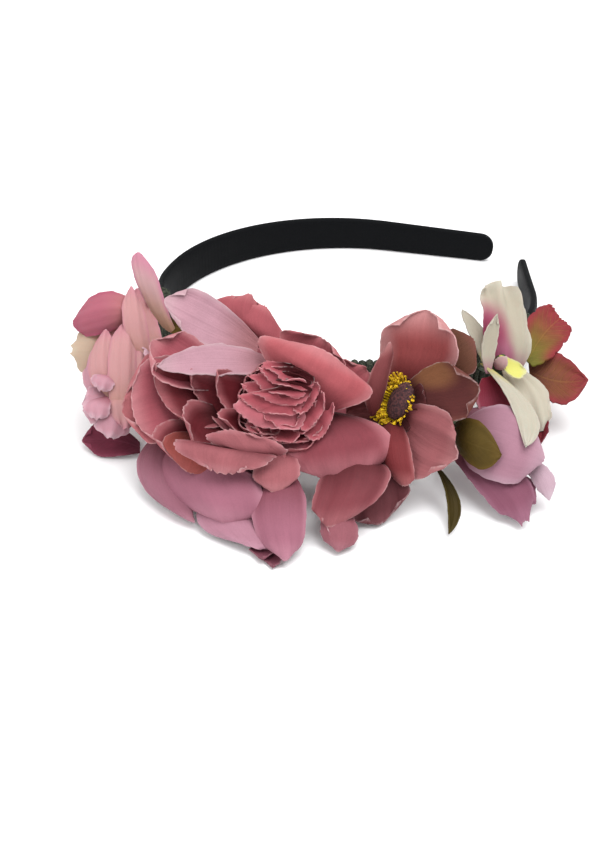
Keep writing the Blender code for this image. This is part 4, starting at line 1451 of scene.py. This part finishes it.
@dataclass
class Band:
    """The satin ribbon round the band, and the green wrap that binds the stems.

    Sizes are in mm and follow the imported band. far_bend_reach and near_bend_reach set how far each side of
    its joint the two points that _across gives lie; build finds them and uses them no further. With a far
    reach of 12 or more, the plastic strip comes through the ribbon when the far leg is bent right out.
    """

    half_length: float = 67.0
    half_breadth: float = 58.5
    far_straight_deg: float = 75.0
    far_straight: float = 42.0
    near_straight: float = 31.0
    crown_width: float = 14.8
    tip_width: float = 9.5
    tip_corner: float = 4.2
    half_thick: float = 0.7
    ribbon_out: float = 0.8
    far_hinge_deg: float = 161.0
    near_hinge_deg: float = 346.0
    wrap_from_deg: float = 190.0
    wrap_to_deg: float = 338.0
    wrap_out: float = 2.9
    split_deg: float = 230.0
    overlap: float = 2.0
    far_bend_reach: float = 9.0
    near_bend_reach: float = 7.0
    ribbon_rows: int = 150
    ribbon_columns: int = 28
    tip_crowding: float = 1.35
    cord_radius: float = 1.25
    line: np.ndarray = field(init=False)
    runs: np.ndarray = field(init=False)

    def __post_init__(self) -> None:
        """Draws the band's middle line from the far tip to the near tip."""
        degrees = np.radians(np.arange(self.far_straight_deg, 360.1, 1.0))
        loop = np.stack([self.half_length * np.cos(degrees), self.half_breadth * np.sin(degrees)], axis=1)
        lead_in = self._heading(degrees[0])
        lead_out = self._heading(degrees[-1])
        steps = np.linspace(1.0, 0.0, 20, endpoint=False)[:, None]
        far = loop[0] - lead_in * self.far_straight * steps
        near = loop[-1] + lead_out * self.near_straight * (1 - steps + 0.05)
        self.line = np.vstack([far, loop, near])
        gaps = np.linalg.norm(np.diff(self.line, axis=0), axis=1)
        self.runs = np.concatenate([[0.0], np.cumsum(gaps)])

    def _heading(self, angle: float) -> np.ndarray:
        """The loop's direction towards the near tip at an angle."""
        ahead = np.array([-self.half_length * math.sin(angle), self.half_breadth * math.cos(angle)])
        return ahead / np.linalg.norm(ahead)

    def run_of(self, degrees: float) -> float:
        """The distance from the far tip at which the loop reaches an angle."""
        return float(np.interp(degrees, np.arange(self.far_straight_deg, 360.1, 1.0), self.runs[20:-20]))

    def at(self, run: np.ndarray) -> tuple[np.ndarray, np.ndarray]:
        """Points of the middle line and the way out of the loop there."""
        here = np.stack([np.interp(run, self.runs, self.line[:, k]) for k in (0, 1)], axis=-1)
        ahead = np.stack([np.interp(run + 1, self.runs, self.line[:, k]) for k in (0, 1)], axis=-1)
        behind = np.stack([np.interp(run - 1, self.runs, self.line[:, k]) for k in (0, 1)], axis=-1)
        along = ahead - behind
        along /= np.linalg.norm(along, axis=-1, keepdims=True)
        return here, np.stack([along[..., 1], -along[..., 0]], axis=-1)

    def edges(self, run: np.ndarray) -> tuple[np.ndarray, np.ndarray]:
        """The heights of the core's lower and upper edge."""
        total = self.runs[-1]
        share = np.abs(run - total / 2) / (total / 2)
        width = self.crown_width + (self.tip_width - self.crown_width) * share
        rise = ramp(self.run_of(self.far_hinge_deg), self.run_of(self.wrap_from_deg), run)
        fall = ramp(0.0, total - self.run_of(self.wrap_to_deg), total - run)
        low = self.ribbon_out + (self.wrap_out - self.ribbon_out) * rise * fall
        return low, low + width

    def _ribbon(
        self, name: str, start: float, end: float, round_start: bool, round_end: bool,
    ) -> bpy.types.Object:
        """Makes a closed length of satin-covered band.

        Args:
            name: The piece's name.
            start: Where it starts, as a distance from the far tip in mm.
            end: Where it ends.
            round_start: Whether it starts in a rounded tip.
            round_end: Whether it ends in one.

        Returns:
            The piece.
        """
        piece, around, share = grid(self.ribbon_columns, self.ribbon_rows)
        turn = around * math.pi
        corner = self.tip_corner + self.ribbon_out
        run = start + (end - start) * share
        if round_start:
            run = start + (end - start) * share**self.tip_crowding
        if round_end:
            run = end - (end - start) * (1 - share) ** self.tip_crowding
        near_start = np.clip(run - start, 0, corner) if round_start else np.full_like(run, corner)
        near_end = np.clip(end - run, 0, corner) if round_end else np.full_like(run, corner)
        drawn = 2 * corner - np.sqrt(corner**2 - (corner - near_start) ** 2)
        drawn -= np.sqrt(corner**2 - (corner - near_end) ** 2)
        low, high = self.edges(run)
        middle = (low + high) / 2
        half_high = np.maximum((high - low) / 2 + self.ribbon_out - drawn, 0.3)
        thick = (self.half_thick + self.ribbon_out) * (1 - 0.25 * drawn / corner)
        across, up = squared(turn, 0.55)
        here, out = self.at(run)
        spot = here + out * (across * thick)[:, None]
        co = np.column_stack([spot, middle + up * half_high]) * MM
        piece.data.vertices.foreach_set("co", co.ravel())
        piece.data.update()
        close_tube(piece, weld=0.00002)
        bpy.ops.object.shade_smooth_by_angle(angle=math.radians(HARD_CREASE_DEG))
        piece.name = name
        piece.data.name = name
        piece.data.materials.append(SATIN.material())
        return piece

    def _across(self, degrees: float, reach: float) -> tuple[Point, Point]:
        """Two points on the band either side of where it gives, in metres, the far side of it last."""
        run = self.run_of(degrees)
        here, _ = self.at(np.array([run - reach, run + reach]))
        first, last = (tuple((*(spot * MM), 0.008)) for spot in here)
        return first, last

    def build(self) -> None:
        """Makes both lengths of ribbon and the wrap."""
        split = self.run_of(self.split_deg)
        far = self._ribbon("ribbon_satin_far", 0.0, split, True, False)
        far_side, crown_side = self._across(self.far_hinge_deg, self.far_bend_reach)
        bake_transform(far)
        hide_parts("ribbon_far_leg", "ribbon_end_far")
        near = self._ribbon("ribbon_satin_near", split - self.overlap, float(self.runs[-1]), False, True)
        crown_side, near_side = self._across(self.near_hinge_deg, self.near_bend_reach)
        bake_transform(near)
        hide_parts("ribbon_crown", "ribbon_near_tip", "ribbon_end_near")
        self._wrap()

    def _wrap(self) -> None:
        """Winds the knitted green cord round the band, turn against turn."""
        start, end = self.run_of(self.wrap_from_deg), self.run_of(self.wrap_to_deg)
        radius = self.cord_radius
        turns = int((end - start) / (2 * radius))
        steps = turns * 30
        piece, around, share = grid(8, steps)
        ring = around * math.pi

        def course(t: np.ndarray) -> np.ndarray:
            """The cord's middle line round the band, in mm."""
            run = start + (end - start) * t
            angle = 2 * math.pi * turns * t
            low, high = self.edges(run)
            half_high = (high - low) / 2 + self.wrap_out - radius
            out_by = self.half_thick + self.wrap_out - radius
            across, up = squared(angle, 0.6)
            here, out = self.at(run)
            spot = here + out * (across * out_by)[:, None]
            return np.column_stack([spot, (low + high) / 2 + up * half_high])

        line = course(share)
        ahead = course(np.clip(share + 1e-5, 0, 1)) - course(np.clip(share - 1e-5, 0, 1))
        ahead /= np.maximum(np.linalg.norm(ahead, axis=1), 1e-9)[:, None]
        run = start + (end - start) * share
        here, out = self.at(run)
        low, high = self.edges(run)
        inward = np.column_stack([here, (low + high) / 2]) - line
        side = np.cross(ahead, inward)
        side /= np.maximum(np.linalg.norm(side, axis=1), 1e-9)[:, None]
        lift = np.cross(side, ahead)
        wound = 2 * math.pi * turns * share
        stitches = 1 + 0.20 * np.sin(wound * 9.5) + 0.06 * np.sin(wound * 23.7)
        girth = radius * stitches
        co = line + side * (np.cos(ring) * girth)[:, None] + lift * (np.sin(ring) * girth)[:, None]
        co[:, 2] = np.maximum(co[:, 2], 0.05)
        piece.data.vertices.foreach_set("co", (co * MM).ravel())
        piece.data.update()
        close_tube(piece, weld=0.00001)
        bpy.ops.object.shade_smooth()
        piece.name = "stem_wrap_knit"
        piece.data.name = "stem_wrap_knit"
        piece.data.materials.append(WRAP_GREEN.material())
        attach(piece, "crown")
        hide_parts("stem_wrap")
        log.info("wrap: %d turns", turns)


SATIN = SatinFinish("black satin ribbon", roughness=0.55, specular=0.05)
WRAP_GREEN = FuzzyFinish(
    "knitted green wrap", roughness=0.95, dark=(22, 26, 20), light=(70, 74, 58), grain=1300.0, contrast=0.75,
)
STEM_GREEN = FuzzyFinish(
    "moulded stem green", roughness=0.6, dark=(50, 62, 38), light=(84, 96, 58), grain=500.0, contrast=0.5,
)
BAND_PLASTIC = FuzzyFinish(
    "band plastic", roughness=0.5, dark=(16, 17, 18), light=(34, 35, 36), grain=400.0, contrast=0.4,
)


class Fittings:
    """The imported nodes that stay: stems, calyxes and the plastic strip in the ribbon."""

    def dress(self) -> None:
        """Gives each node that stays its procedural finish."""
        for name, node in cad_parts.items():
            if node.hide_render:
                continue
            if name.startswith("band_core"):
                finish = BAND_PLASTIC
            else:
                finish = STEM_GREEN
            for slot in node.material_slots:
                slot.material = finish.material()
            log.info("%s dressed in %s", name, finish.name)


# ---------------------------------------------------------------- the studio


@dataclass
class Studio:
    """The pale floor, the soft light and the camera."""

    eye: Point = (-0.017, -0.4815, 0.2796)
    pitch_deg: float = 34.0
    lens: float = 64.5
    sky: float = 0.85

    def build(self) -> None:
        """Makes the floor, the lights, the camera and the display transform."""
        deselect()
        bpy.ops.mesh.primitive_plane_add(size=6.0, location=(0, 0, -0.0002))
        floor = bpy.context.object
        floor.name = "floor"
        paper = FuzzyFinish(
            "white paper", roughness=0.9, dark=(247, 247, 248), light=(250, 250, 250), grain=30.0,
            contrast=0.4,
        )
        floor.data.materials.append(paper.material())
        world = bpy.data.worlds.new("soft room")
        bpy.context.scene.world = world
        world.use_nodes = True
        background = world.node_tree.nodes["Background"]
        background.inputs["Color"].default_value = (1.0, 1.0, 1.0, 1.0)
        background.inputs["Strength"].default_value = self.sky
        self._softbox("key softbox", (0.25, -0.15, 0.9), 0.8, 9.0)
        self._softbox("fill softbox", (-0.7, -0.5, 0.6), 0.9, 3.0)
        camera = bpy.data.objects.new("camera", bpy.data.cameras.new("camera"))
        bpy.context.scene.collection.objects.link(camera)
        camera.location = self.eye
        camera.rotation_euler = (math.radians(90 - self.pitch_deg), 0.0, 0.0)
        camera.data.lens = self.lens
        camera.data.sensor_width = 36.0
        bpy.context.scene.camera = camera
        bpy.context.scene.view_settings.view_transform = "Standard"

    @staticmethod
    def _softbox(name: str, place: Point, size: float, power: float) -> None:
        """Hangs a square area light that looks at the crown."""
        light = bpy.data.lights.new(name, "AREA")
        light.shape = "SQUARE"
        light.size = size
        light.energy = power
        lamp = bpy.data.objects.new(name, light)
        bpy.context.scene.collection.objects.link(lamp)
        lamp.location = place
        lamp.rotation_euler = (-Vector(place)).to_track_quat("-Z", "Y").to_euler()


def main() -> None:
    """Builds every sub-assembly in order, then the studio."""
    logging.basicConfig(level=logging.INFO, format="%(name)s: %(message)s")
    Band().build()
    Peony().build()
    FrontBloom().build()
    LeftFlower().build()
    LowRose().build()
    OpenFlower().build()
    Orchid().build()
    RightBloom().build()
    Foliage().build()
    Fittings().dress()
    Studio().build()


if __name__ == "__main__":
    main()
